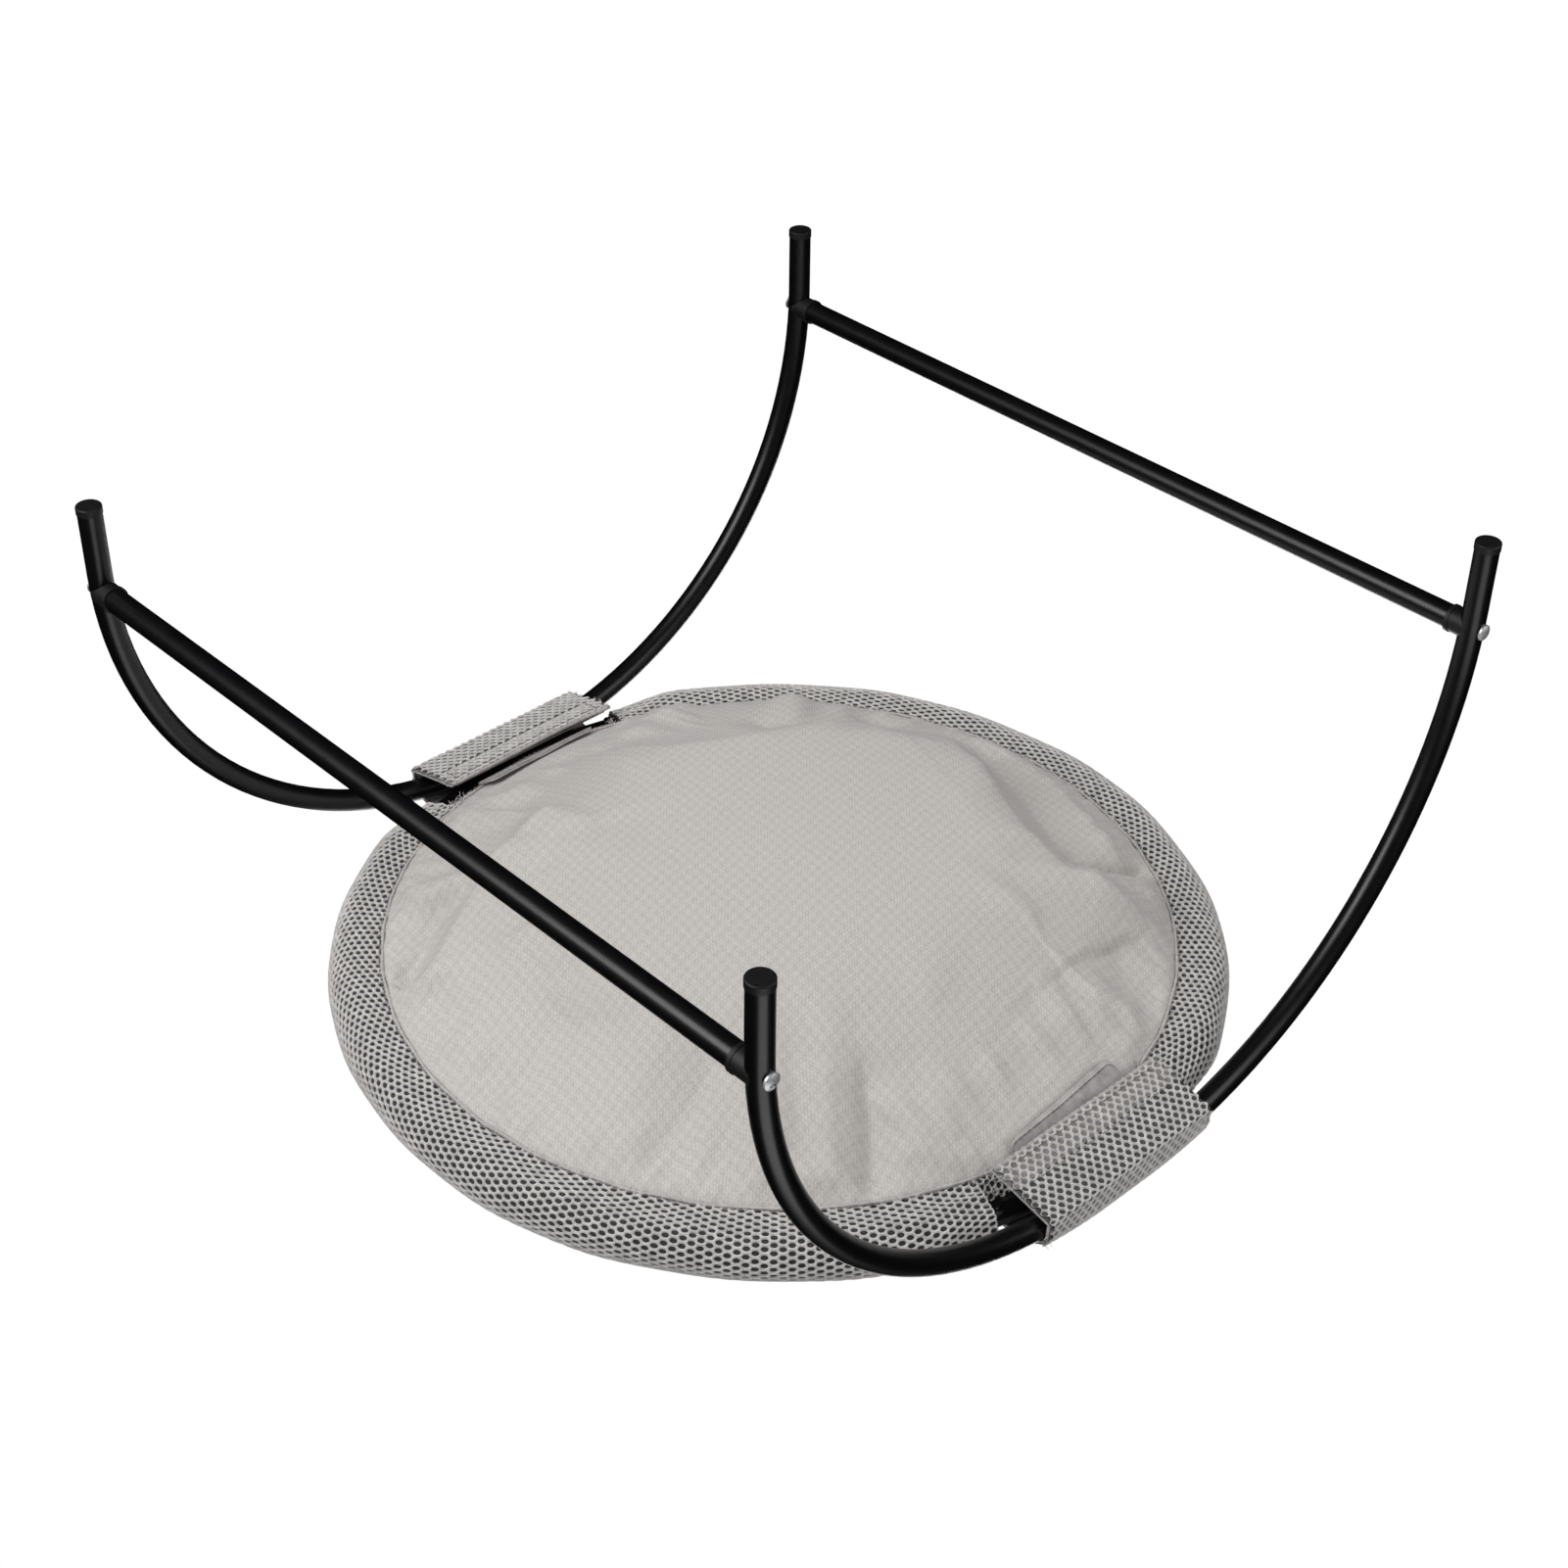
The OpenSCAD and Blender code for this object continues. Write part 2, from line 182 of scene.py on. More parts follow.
def zinc_plated_steel():
    """Zinc plating on a pressed steel screw: bright, slightly cloudy, with fine turning marks."""
    material, tree, shader, place = finish_of("zinc_plated_steel", 0.5, metallic=0.85)
    cloudy = add(tree, "MapRange", {"Value": grain(tree, place, 0.6 * MM), "To Min": 0.42, "To Max": 0.6})
    tree.links.new(cloudy.outputs["Result"], shader.inputs["Roughness"])
    marks = add(tree, "Bump", {
        "Height": grain(tree, place, 0.3 * MM), "Strength": 0.2, "Distance": 0.03 * MM})
    feed(tree, shader, shade(tree, grain(tree, place, 1.2 * MM, 3.0), "#D4D6D8", "#F2F3F4"), marks)
    return material


def knitted_yarn(name, dark, light):
    """Polyester yarn of a warp-knitted mesh: matt, its loops drawn about 0.5 mm across so that they show."""
    material, tree, shader, place = finish_of(name, 0.8, sheen=0.25)
    loops = add(tree, "TexVoronoi", {"Vector": place, "Scale": 1 / (0.55 * MM)}, feature="SMOOTH_F1")
    mixed = add(tree, "Math", {0: loops.outputs["Distance"], 1: grain(tree, place, 6 * MM)},
                operation="ADD")
    raised = add(tree, "Bump", {
        "Height": loops.outputs["Distance"], "Strength": 0.7, "Distance": 0.16 * MM}, invert=True)
    # The colour darkens away from each loop's crown, where the bump is low: painted shade between the loops, over
    # a random tone
    feed(tree, shader, shade(tree, mixed, light, dark, 0.5, 1.25), raised)
    return material


def knit_cloth(name, dark, light):
    """Warp-knitted polyester: staggered rows of stitches, drawn large enough to show, and a diamond figure."""
    stitch_long, stitch_wide = 2.6 * MM, 1.5 * MM
    figure_long, figure_wide = 8.4 * MM, 6.4 * MM
    diagonal, wander, depth = math.radians(-42), 3.5 * MM, 0.3 * MM
    material, tree, shader, place = finish_of(name, 0.88, sheen=0.12, sheen_roughness=0.4)
    turned_place = add(tree, "Mapping", {"Vector": place, "Rotation": (0, 0, diagonal)})
    drift = add(tree, "TexNoise", {"Vector": place, "Scale": 1 / (22 * MM), "Detail": 1.0})
    bent = add(tree, "VectorMath", {0: drift.outputs["Color"], 1: (wander,) * 3}, operation="MULTIPLY")
    drawn = add(tree, "VectorMath", {0: turned_place.outputs["Vector"], 1: bent.outputs["Vector"]},
                operation="ADD")
    rows = add(tree, "TexBrick", {
        "Vector": drawn.outputs["Vector"], "Scale": 1.0, "Brick Width": stitch_long, "Row Height": stitch_wide,
        "Mortar Size": 0.6 * MM, "Mortar Smooth": 1.0}, offset=0.5)
    axes = add(tree, "SeparateXYZ", {"Vector": drawn.outputs["Vector"]})
    long = add(tree, "Math", {0: axes.outputs["X"], 1: 2 * math.pi / figure_long}, operation="MULTIPLY")
    wide = add(tree, "Math", {0: axes.outputs["Y"], 1: 2 * math.pi / figure_wide}, operation="MULTIPLY")
    waves = [add(tree, "Math", {0: turn}, operation="COSINE") for turn in (long, wide)]
    figure = add(tree, "Math", {0: waves[0], 1: waves[1]},
                 operation="MULTIPLY")
    figured = add(tree, "Math", {0: figure, 1: 0.15}, operation="MULTIPLY")
    stitch = add(tree, "Math", {0: rows.outputs["Fac"], 1: 0.32}, operation="MULTIPLY")
    height = add(tree, "Math", {0: figured, 1: stitch},
                 operation="SUBTRACT")
    fuzz_and_pit_shade = add(tree, "Math", {0: grain(tree, place, 1.0 * MM, 3.0), 1: height},
               operation="ADD")
    weave = add(tree, "Bump", {"Height": fuzz_and_pit_shade.outputs["Value"], "Strength": 0.8, "Distance": depth})
    # The colour follows the knit's height: painted shade in the stitch pits and the figure's low parts, over a
    # random tone
    feed(tree, shader, shade(tree, fuzz_and_pit_shade.outputs["Value"], dark, light, -0.2, 0.9), weave)
    return material


def napped_cloth(name, dark, light, sheen):
    """Brushed or spun nylon and polyester: a short felt-like nap that lightens at a glancing angle."""
    material, tree, shader, place = finish_of(name, 0.9, sheen=sheen, sheen_roughness=0.35)
    nap = add(tree, "Math", {
        0: grain(tree, place, 0.7 * MM, 4.0, 0.7), 1: grain(tree, place, 5 * MM)}, operation="ADD")
    felt = add(tree, "Bump", {"Height": nap.outputs["Value"], "Strength": 0.5, "Distance": 0.2 * MM})
    feed(tree, shader, shade(tree, nap.outputs["Value"], dark, light, 0.75, 1.25), felt)
    return material


def pale_floor():
    """Matt white board, seen only from above, that fades into the backdrop away from the bed."""
    material, tree, shader, place = finish_of("matt_white_board", 0.7)
    tree.links.new(shade(tree, grain(tree, place, 60 * MM), "#F0F0EF", "#F6F6F5"), shader.inputs["Base Color"])
    reach = add(tree, "VectorMath", {0: place}, operation="LENGTH")
    faded = add(tree, "MapRange", {
        "Value": reach.outputs["Value"], "From Min": 0.55, "From Max": 1.3}, interpolation_type="SMOOTHSTEP")
    under = add(tree, "NewGeometry").outputs["Backfacing"]
    hidden = add(tree, "Math", {0: faded.outputs["Result"], 1: under}, operation="MAXIMUM")
    clear = add(tree, "BsdfTransparent")
    mixed = add(tree, "MixShader", {
        0: hidden, 1: shader.outputs["BSDF"], 2: clear.outputs["BSDF"]})
    output = [n for n in tree.nodes if n.type == "OUTPUT_MATERIAL"][0]
    tree.links.new(mixed.outputs["Shader"], output.inputs["Surface"])
    return material


def white_backdrop():
    """Evenly lit white backdrop."""
    material = bpy.data.materials.new("lit_white_backdrop")
    tree = bare_tree(material)
    glow = add(tree, "Emission", {"Color": linear("#FFFFFF"), "Strength": 1.0})
    add(tree, "OutputMaterial", {"Surface": glow.outputs["Emission"]})
    return material


STEEL = powder_coated_steel()
PLASTIC = moulded_plastic()
ZINC = zinc_plated_steel()
YARN = knitted_yarn("warp_knitted_mesh_yarn", "#A5A2A0", "#D8D5D2")
# The sleeves' inner layer is near black: painted shade seen through the net's holes
MESH_INSIDE_SHADE = knitted_yarn("spacer_mesh_painted_shade", "#1E1E1E", "#3A3939")
# The straps' inner layer is dark grey: painted shade seen through the net's holes
STRAP_INSIDE_SHADE = knitted_yarn("strap_mesh_painted_shade", "#343333", "#4C4B4A")
HOOK_BACK = knitted_yarn("hook_tape_back", "#6E6B6A", "#8C8987")
KNIT = knit_cloth("knitted_polyester_cloth", "#AAA6A2", "#D3CFCB")
LINING = knit_cloth("knitted_lining_cloth", "#A9A5A2", "#D2CECB")
VELVET = napped_cloth("brushed_loop_cloth", "#928D8D", "#B4AFAF", 0.5)
HOOKS = napped_cloth("moulded_nylon_hooks", "#6E6C6B", "#8A8886", 0.0)
BINDING = napped_cloth("woven_edge_binding", "#A5A09E", "#C2BEBB", 0.2)
THREAD = napped_cloth("spun_polyester_thread", "#625F5C", "#8A8682", 0.1)
FRAY = napped_cloth("frayed_mesh_yarn", "#B9B6B3", "#DDDAD7", 0.2)


# ---- Mesh code ----

def placed(name, data, place=(0, 0, 0), turn=None):
    """An object for a mesh, light or camera, in the scene at a place and with a turn."""
    made = bpy.data.objects.new(name, data)
    bpy.context.scene.collection.objects.link(made)
    made.location = place
    if turn is not None:
        made.rotation_mode = "QUATERNION"
        made.rotation_quaternion = turn
    return made


def new_piece(name, points, faces, materials, face_materials=None):
    """A mesh object from points and faces, with its doubled points joined and slivers removed."""
    mesh = bpy.data.meshes.new(name)
    mesh.from_pydata([tuple(p) for p in points], [], [tuple(f) for f in faces])
    for material in materials:
        mesh.materials.append(material)
    if face_materials is not None:
        mesh.polygons.foreach_set("material_index", np.asarray(face_materials, np.int32))
    shaped = bmesh.new()
    shaped.from_mesh(mesh)
    bmesh.ops.remove_doubles(shaped, verts=shaped.verts, dist=0.01 * MM)
    bmesh.ops.dissolve_degenerate(shaped, edges=shaped.edges, dist=0.005 * MM)
    shaped.to_mesh(mesh)
    shaped.free()
    mesh.polygons.foreach_set("use_smooth", [True] * len(mesh.polygons))
    return placed(name, mesh)


def settle(body, slot, *pieces):
    """Fixes pieces to a body. The slot is not used."""
    for piece in pieces:
        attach(piece, body)


def points_of(mesh):
    """A mesh's points, as rows of x, y and z."""
    flat = np.zeros(len(mesh.vertices) * 3)
    mesh.vertices.foreach_get("co", flat)
    return flat.reshape(-1, 3)


def move_points(mesh, points):
    """Puts a mesh's points where the rows of x, y and z say."""
    mesh.vertices.foreach_set("co", points.ravel())
    mesh.update()


def baked(piece):
    """A new mesh of the piece with its modifiers applied."""
    return bpy.data.meshes.new_from_object(piece.evaluated_get(bpy.context.evaluated_depsgraph_get()))


def smooth_step(x):
    """Smooth rise from 0 to 1."""
    x = np.clip(x, 0, 1)
    return x * x * (3 - 2 * x)


def turned(points, side):
    """Points made for the right-hand side, turned half round the bed for the left."""
    points = np.array(points, float)
    if side == "left":
        points[..., :2] *= -1
    return points


def reach_of(line):
    """Distance along a line of points, at each point."""
    return np.concatenate([[0], np.cumsum(np.linalg.norm(np.diff(line, axis=0), axis=1))])


def resampled(line, count):
    """A line of points with even steps."""
    reach = reach_of(line)
    at = np.linspace(0, reach[-1], count)
    return np.stack([np.interp(at, reach, line[:, k]) for k in range(line.shape[1])], -1)


def arc(centre, radius, start, end, count=14):
    """Points on an arc between two angles."""
    turn = np.linspace(start, end, count)
    return np.asarray(centre) + radius * np.stack([np.cos(turn), np.sin(turn)], -1)


def round_hoop(r, angle, z):
    """Points at a distance from the bed's axis, an angle round it and a height."""
    return np.stack([r * np.cos(angle), r * np.sin(angle), z], -1)


def outward_of(grid, least=0.0):
    """Direction off the surface at each point of a grid. Where the grid is pinched, least keeps it finite."""
    outward = np.cross(np.gradient(grid, axis=0), np.gradient(grid, axis=1))
    return outward / (np.linalg.norm(outward, axis=2, keepdims=True) + least)


def surface_of(grid):
    """Turns a grid into a function of (across, along, lift); across and along go from 0 to 1 over the grid."""
    both = np.concatenate([grid, outward_of(grid, 1e-12)], axis=2)
    count_a, count_b = grid.shape[0] - 1, grid.shape[1] - 1

    def at(across, along, lift):
        a = np.clip(across, 0, 1) * count_a
        b = np.clip(along, 0, 1) * count_b
        i = np.minimum(a.astype(int), count_a - 1)
        j = np.minimum(b.astype(int), count_b - 1)
        s, t = (a - i)[..., None], (b - j)[..., None]
        found = (both[i, j] * (1 - s) * (1 - t) + both[i + 1, j] * s * (1 - t)
                 + both[i, j + 1] * (1 - s) * t + both[i + 1, j + 1] * s * t)
        return found[..., :3] + found[..., 3:] * np.asarray(lift)[..., None]

    return at


# Lifts of a net's yarn: its crown, its shoulder, and its foot at the edge of a hole
CORD_TOP, CORD_SIDE, CORD_FOOT = 0.0, -0.4 * MM, -1.05 * MM
HOLE_CORNERS = 12


def net_of_cells(first, last, rows, step, pitch, hole):
    """A flat hexagonal net, its odd columns set half a hole along: points (across, along, lift) and faces."""
    i, j = np.meshgrid(np.arange(first, last), np.arange(rows), indexing="ij")
    centre = np.stack([(i + 0.5) * step, (j + 0.5 + 0.5 * (i % 2)) * pitch], -1).reshape(-1, 1, 2)
    tip = (step ** 2 + pitch ** 2 / 4) / (2 * step)
    shoulder = (step ** 2 - pitch ** 2 / 4) / (2 * step)
    corners = np.array([[tip, 0], [shoulder, pitch / 2], [-shoulder, pitch / 2],
                        [-tip, 0], [-shoulder, -pitch / 2], [shoulder, -pitch / 2]])
    outline = np.zeros((HOLE_CORNERS, 2))
    outline[0::2] = corners
    outline[1::2] = (corners + np.roll(corners, -1, axis=0)) / 2
    turn = np.arange(HOLE_CORNERS) * 2 * math.pi / HOLE_CORNERS
    oval = np.stack([hole[0] * np.cos(turn), hole[1] * np.sin(turn)], -1)
    loops = [(outline, CORD_TOP), (outline * 0.34 + oval * 0.66, CORD_SIDE), (oval, CORD_FOOT)]
    lifts = centre.shape[:1] + (HOLE_CORNERS, 1)
    rings = [np.concatenate([centre + loop, np.full(lifts, lift)], -1) for loop, lift in loops]
    points = np.concatenate(rings, 1)
    k = np.arange(HOLE_CORNERS)
    after = (k + 1) % HOLE_CORNERS
    band = np.stack([k, after, after + HOLE_CORNERS, k + HOLE_CORNERS], -1)
    one = np.concatenate([band, band + HOLE_CORNERS])
    faces = (np.arange(len(points))[:, None, None] * len(loops) * HOLE_CORNERS + one).reshape(-1, 4)
    return points.reshape(-1, 3), faces


def layer_faces(count_a, count_b, start=0, flip=False):
    """Quads of a grid of count_a by count_b points, numbered from start."""
    i, j = np.meshgrid(np.arange(count_a - 1), np.arange(count_b - 1), indexing="ij")
    a = start + i * count_b + j
    quads = np.stack([a, a + count_b, a + count_b + 1, a + 1], -1).reshape(-1, 4)
    return quads[:, ::-1] if flip else quads


def rim_of(number):
    """Numbers of the points round the edge of a grid, in order, from the grid of all their numbers."""
    return np.concatenate([number[:, 0], number[-1, 1:], number[-2::-1, -1], number[0, -2:0:-1]])


def slab(surface, across, along, top, bottom):
    """A closed layer of cloth between two lifts off a surface: points, faces, and 1 for faces not on top."""
    a, b = np.meshgrid(across, along, indexing="ij")
    points = np.concatenate([surface(a, b, np.full(a.shape, lift)).reshape(-1, 3) for lift in (top, bottom)])
    upper = layer_faces(*a.shape)
    under = layer_faces(*a.shape, a.size, True)
    rim = rim_of(np.arange(a.size).reshape(a.shape))
    after = np.roll(rim, -1)
    sides = np.stack([rim, rim + a.size, after + a.size, after], -1)[:, ::-1]
    faces = np.concatenate([upper, under, sides])
    return points, faces, [0] * len(upper) + [1] * (len(under) + len(sides))


def tube_along(path, radii, sides=8, closed=False):
    """A round tube along a path of points, with a radius at each."""
    path = np.asarray(path, float)
    count = len(path)
    if closed:
        run = np.roll(path, -1, axis=0) - np.roll(path, 1, axis=0)
    else:
        run = np.gradient(path, axis=0)
    run /= np.linalg.norm(run, axis=1, keepdims=True) + 1e-12
    up = np.array([0.0, 0.0, 1.0]) if abs(run[:, 2]).max() < 0.95 else np.array([0.31, 0.23, 0.92])
    side = np.cross(run, up)
    side /= np.linalg.norm(side, axis=1, keepdims=True) + 1e-12
    over = np.cross(side, run)
    turn = np.arange(sides) * 2 * math.pi / sides
    ring = side[:, None] * np.cos(turn)[None, :, None] + over[:, None] * np.sin(turn)[None, :, None]
    points = (path[:, None] + ring * np.asarray(radii, float)[:, None, None]).reshape(-1, 3)
    faces = []
    for i in range(count if closed else count - 1):
        here, there = i * sides, ((i + 1) % count) * sides
        faces += [(here + k, here + (k + 1) % sides, there + (k + 1) % sides, there + k) for k in range(sides)]
    if not closed:
        faces += [tuple(range(sides))[::-1], tuple((count - 1) * sides + k for k in range(sides))]
    return points, faces


def joined(parts):
    """Several sets of points and faces as one."""
    points, faces, count = [], [], 0
    for some, quads in parts:
        points.append(np.asarray(some))
        faces += [tuple(int(v) + count for v in f) for f in quads]
        count += len(some)
    return np.concatenate(points), faces


def stitches(path, outward, length=2.4 * MM, gap=1.1 * MM, thick=0.28 * MM):
    """Stitches of thread laid along a path, each one arched over the cloth."""
    path = np.asarray(path, float)
    reach = reach_of(path)
    made = []
    for start in np.arange(gap / 2, reach[-1] - length, length + gap):
        at = np.linspace(start, start + length, 5)
        points = np.stack([np.interp(at, reach, path[:, k]) for k in range(3)], -1)
        arch = np.sin(np.linspace(0, math.pi, 5))
        points = points + np.asarray(outward) * (arch * thick * 0.9 - thick * 0.3)[:, None]
        made.append(tube_along(points, thick * (0.55 + 0.45 * arch), 6))
    return joined(made)


# ---- Camera and studio ----

def set_camera():
    """Camera below the bed, looking up at it, with the bed upside down in the view."""
    azimuth, elevation, roll = math.radians(133.66), math.radians(-36.09), math.radians(180.7)
    target, distance = Vector((0.0065, 0.0045, 0.144)), 1.3063
    level = math.cos(elevation)
    back = Vector((math.sin(azimuth) * level, -math.cos(azimuth) * level, math.sin(elevation)))
    data = bpy.data.cameras.new("studio_camera")
    data.lens = 60.79
    data.sensor_width = 36
    turn = back.to_track_quat("Z", "Y") @ Quaternion((0, 0, 1), roll)
    bpy.context.scene.camera = placed("studio_camera", data, target + back * distance, turn)


def soft_light(name, towards, distance, size, power, glossy=True):
    """A square soft box that faces the bed from a direction."""
    data = bpy.data.lights.new(name, "AREA")
    data.shape = "SQUARE"
    data.size = size
    data.energy = power
    direction = Vector(towards).normalized()
    place = Vector((0, 0, HOOP_Z / 2)) + direction * distance
    light = placed(name, data, place, direction.to_track_quat("Z", "Y"))
    light.visible_glossy = glossy
    light.visible_camera = False


def floor_disc(radius, rings=12, spokes=48):
    """Points and faces of a flat disc on the ground, in rings so that it can be unwrapped evenly."""
    points = [(0, 0, 0)]
    for ring in range(1, rings + 1):
        for turn in np.arange(spokes) * 2 * math.pi / spokes:
            points.append((radius * ring / rings * math.cos(turn), radius * ring / rings * math.sin(turn), 0))
    faces = [(0, 1 + k, 1 + (k + 1) % spokes) for k in range(spokes)]
    for inner in range(1, 1 + (rings - 1) * spokes, spokes):
        outer = inner + spokes
        for k in range(spokes):
            after = (k + 1) % spokes
            faces.append((inner + k, outer + k, outer + after, inner + after))
    return points, faces


def set_studio():
    """Plain pale floor, white backdrop, and soft boxes above and below the bed."""
    scene = bpy.context.scene
    scene.view_settings.view_transform = "Standard"
    scene.view_settings.look = "None"
    scene.world = bpy.data.worlds.new("studio")
    tree = bare_tree(scene.world)
    scene.world.cycles_visibility.glossy = False
    sky = add(tree, "Background", {"Color": linear("#FFFFFF"), "Strength": 0.26})
    add(tree, "OutputWorld", {"Surface": sky.outputs["Background"]})

    floor = new_piece("floor", *floor_disc(1.4), [pale_floor()])
    ball = bmesh.new()
    bmesh.ops.create_icosphere(ball, subdivisions=4, radius=9.0)
    mesh = bpy.data.meshes.new("backdrop")
    ball.to_mesh(mesh)
    ball.free()
    mesh.materials.append(white_backdrop())
    backdrop = placed("backdrop", mesh)
    backdrop.visible_transmission = backdrop.visible_volume_scatter = False
    # Only the camera sees them, so that they don't light the bed
    for piece in (floor, backdrop):
        piece.visible_diffuse = piece.visible_glossy = piece.visible_shadow = False

    soft_light("low_key", (-0.23, 0.83, -0.72), 1.5, 0.9, 15)
    soft_light("low_fill", (0.84, -0.44, -0.6), 1.6, 1.0, 7)
    soft_light("low_overhead", (-0.14, -0.12, -1.1), 1.6, 1.4, 9, glossy=False)
    soft_light("high_key", (-0.5, -0.9, 1.3), 1.7, 1.1, 17)
    soft_light("high_fill", (1.0, 0.5, 0.9), 1.7, 1.3, 9)


# ---- Mesh sleeves over the hoop ----

START_ANGLE = math.asin(GAP_HALF / SEAM_R)
SLEEVE_END_R, SLEEVE_TAPER = 9.7 * MM, 40 * MM
SLEEVE_COUNTS = 320, 120
SLEEVE_CELL, SLEEVE_HOLE = (4.0 * MM, 3.85 * MM), (1.68 * MM, 1.22 * MM)
# How far the mesh lifts: puckers at the seam, pleats at the gathered ends, lumps of the foam elsewhere
PUCKER, PUCKER_STEP, PLEAT, LUMP = 0.5 * MM, 5.2 * MM, 1.1 * MM, 0.35 * MM
TAIL_CELL, TAIL_HOLE, TAIL_CELLS, TAIL_ROWS = (3.3 * MM, 3.5 * MM), (1.35 * MM, 1.15 * MM), 6, 4
TAIL_COUNTS, TAIL_CRUMPLE = (16, 14), 0.75 * MM


def sleeve_line(angle, thin):
    """Outline round the sleeve: the seam's lower lip, an arc round the hoop, and the seam's upper lip."""
    lower = np.array([SEAM_R - HOOP_R, SEAM_LOW_Z - HOOP_Z])
    upper = np.array([SEAM_R - HOOP_R, LINING_RIM_Z + 0.4 * MM - HOOP_Z])
    radius = SLEEVE_R * (1 - thin) + SLEEVE_END_R * thin
    full = 2 * math.pi
    first = math.atan2(lower[1], lower[0]) % full + math.acos(radius / np.linalg.norm(lower))
    last = math.atan2(upper[1], upper[0]) % full + full - math.acos(radius / np.linalg.norm(upper))
    return np.concatenate([[lower], arc((0, 0), radius, first, last, 90), [upper]])


def sleeve_grid():
    """Outside of the rear sleeve, along the hoop and then round it; and the most mesh that goes round it."""
    count_a, count_b = SLEEVE_COUNTS
    share = np.linspace(0, 1, count_b)
    seam_width = 0.22
    near_seam = np.maximum(1 - share / seam_width, 0) ** 2 + np.maximum(1 - (1 - share) / seam_width, 0) ** 2
    grid, around = np.zeros((count_a, count_b, 3)), 0.0
    for n, angle in enumerate(np.linspace(START_ANGLE, math.pi - START_ANGLE, count_a)):
        from_end = HOOP_R * min(angle - START_ANGLE, math.pi - START_ANGLE - angle)
        thin = 1 - smooth_step(from_end / SLEEVE_TAPER)
        line = sleeve_line(angle, thin)
        r, z = resampled(line, count_b).T
        drawn_in = math.sin(angle * HOOP_R / PUCKER_STEP + 1.5 * math.sin(angle * 7))
        lumps = LUMP * (np.sin(angle * 9 + 3 * share * 6) + 0.6 * np.sin(angle * 23 - share * 11))
        pleats = PLEAT * thin * np.sin(share * 44 + 2 * math.sin(angle * 3)) * (0.6 + 0.4 * np.sin(share * 17))
        lift = PUCKER * near_seam * drawn_in + (pleats + lumps * (1 - thin)) * (1 - near_seam)
        push = 1 + lift / (np.hypot(r, z) + 1e-9)
        grid[n] = round_hoop(HOOP_R + r * push, angle, HOOP_Z + z * push)
        around = max(around, reach_of(line)[-1])
    return grid, around


def build_sleeves():
    """Knitted net over a dark inner layer of painted shade, seen in its holes, foam-filled, on each half of the
    hoop.
    """
    grid, around = sleeve_grid()
    surface = surface_of(grid)
    length = HOOP_R * (math.pi - 2 * START_ANGLE)
    columns = int(round(length / SLEEVE_CELL[0]))
    rows = int(round(around / SLEEVE_CELL[1]))
    step, pitch = length / columns, around / (rows - 0.5)
    flat, faces = net_of_cells(0, columns, rows, step, pitch, SLEEVE_HOLE)
    points = surface(flat[:, 0] / length, (flat[:, 1] - pitch / 2) / around, flat[:, 2])
    core, core_faces, _ = slab(surface, np.linspace(0, 1, 150), np.linspace(0, 1, 60), -1.15 * MM, -2.6 * MM)
    for end, side in (("rear", "right"), ("front", "left")):
        net = new_piece("sleeve_net_" + end, turned(points, side), faces, [YARN])
        # Dark inner layer: painted shade in the net's holes
        inner = new_piece("sleeve_core_" + end, turned(core, side), core_faces, [MESH_INSIDE_SHADE])
        settle(STILL, "spacer_mesh", net, inner)
        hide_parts("mesh_sleeve_" + end)
        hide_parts("hoop_foam_" + end)


def loose_threads(rng, roots, out, count, reach):
    """Frayed ends of yarn that curl away from a cut edge."""
    made = []
    steps = 7
    for thread in range(count):
        start = roots[rng.integers(len(roots))] + rng.normal(0, 0.5 * MM, 3)
        heading = np.asarray(out, float) + rng.normal(0, 0.45, 3)
        curl = rng.normal(0, 0.5, 3)
        path = [start]
        for step in range(steps):
            heading = heading / np.linalg.norm(heading) + 0.32 * curl + rng.normal(0, 0.12, 3)
            path.append(path[-1] + heading / np.linalg.norm(heading) * reach * rng.uniform(0.6, 1.1) / steps)
        made.append(tube_along(path, np.linspace(0.2, 0.09, steps + 1) * MM, 5))
    return joined(made)


def tail_grid(rng, angles):
    """Crumpled mesh between the basin's rim and the hoop, along the given angles."""
    line = resampled(np.array([
        [SEAM_R - 2.5 * MM, SEAM_LOW_Z + 0.2 * MM], [SEAM_R + 2 * MM, SEAM_LOW_Z + 0.6 * MM],
        [SEAM_R + 6 * MM, SEAM_LOW_Z + 4.5 * MM], [HOOP_R - 4.6 * MM, HOOP_Z - 4.4 * MM]]), TAIL_COUNTS[1])
    crumple = rng.normal(0, TAIL_CRUMPLE, TAIL_COUNTS)
    # Each point takes up some of its neighbours' crumpling, so that it bends softly
    crumple = (crumple + np.roll(crumple, 1, 0) + np.roll(crumple, 1, 1) + np.roll(crumple, -1, 0)) / 2.2
    crumple[:, [0, -1]] = 0
    return round_hoop(line[:, 0] + crumple * 0.5, angles[:, None], line[:, 1] - abs(crumple))


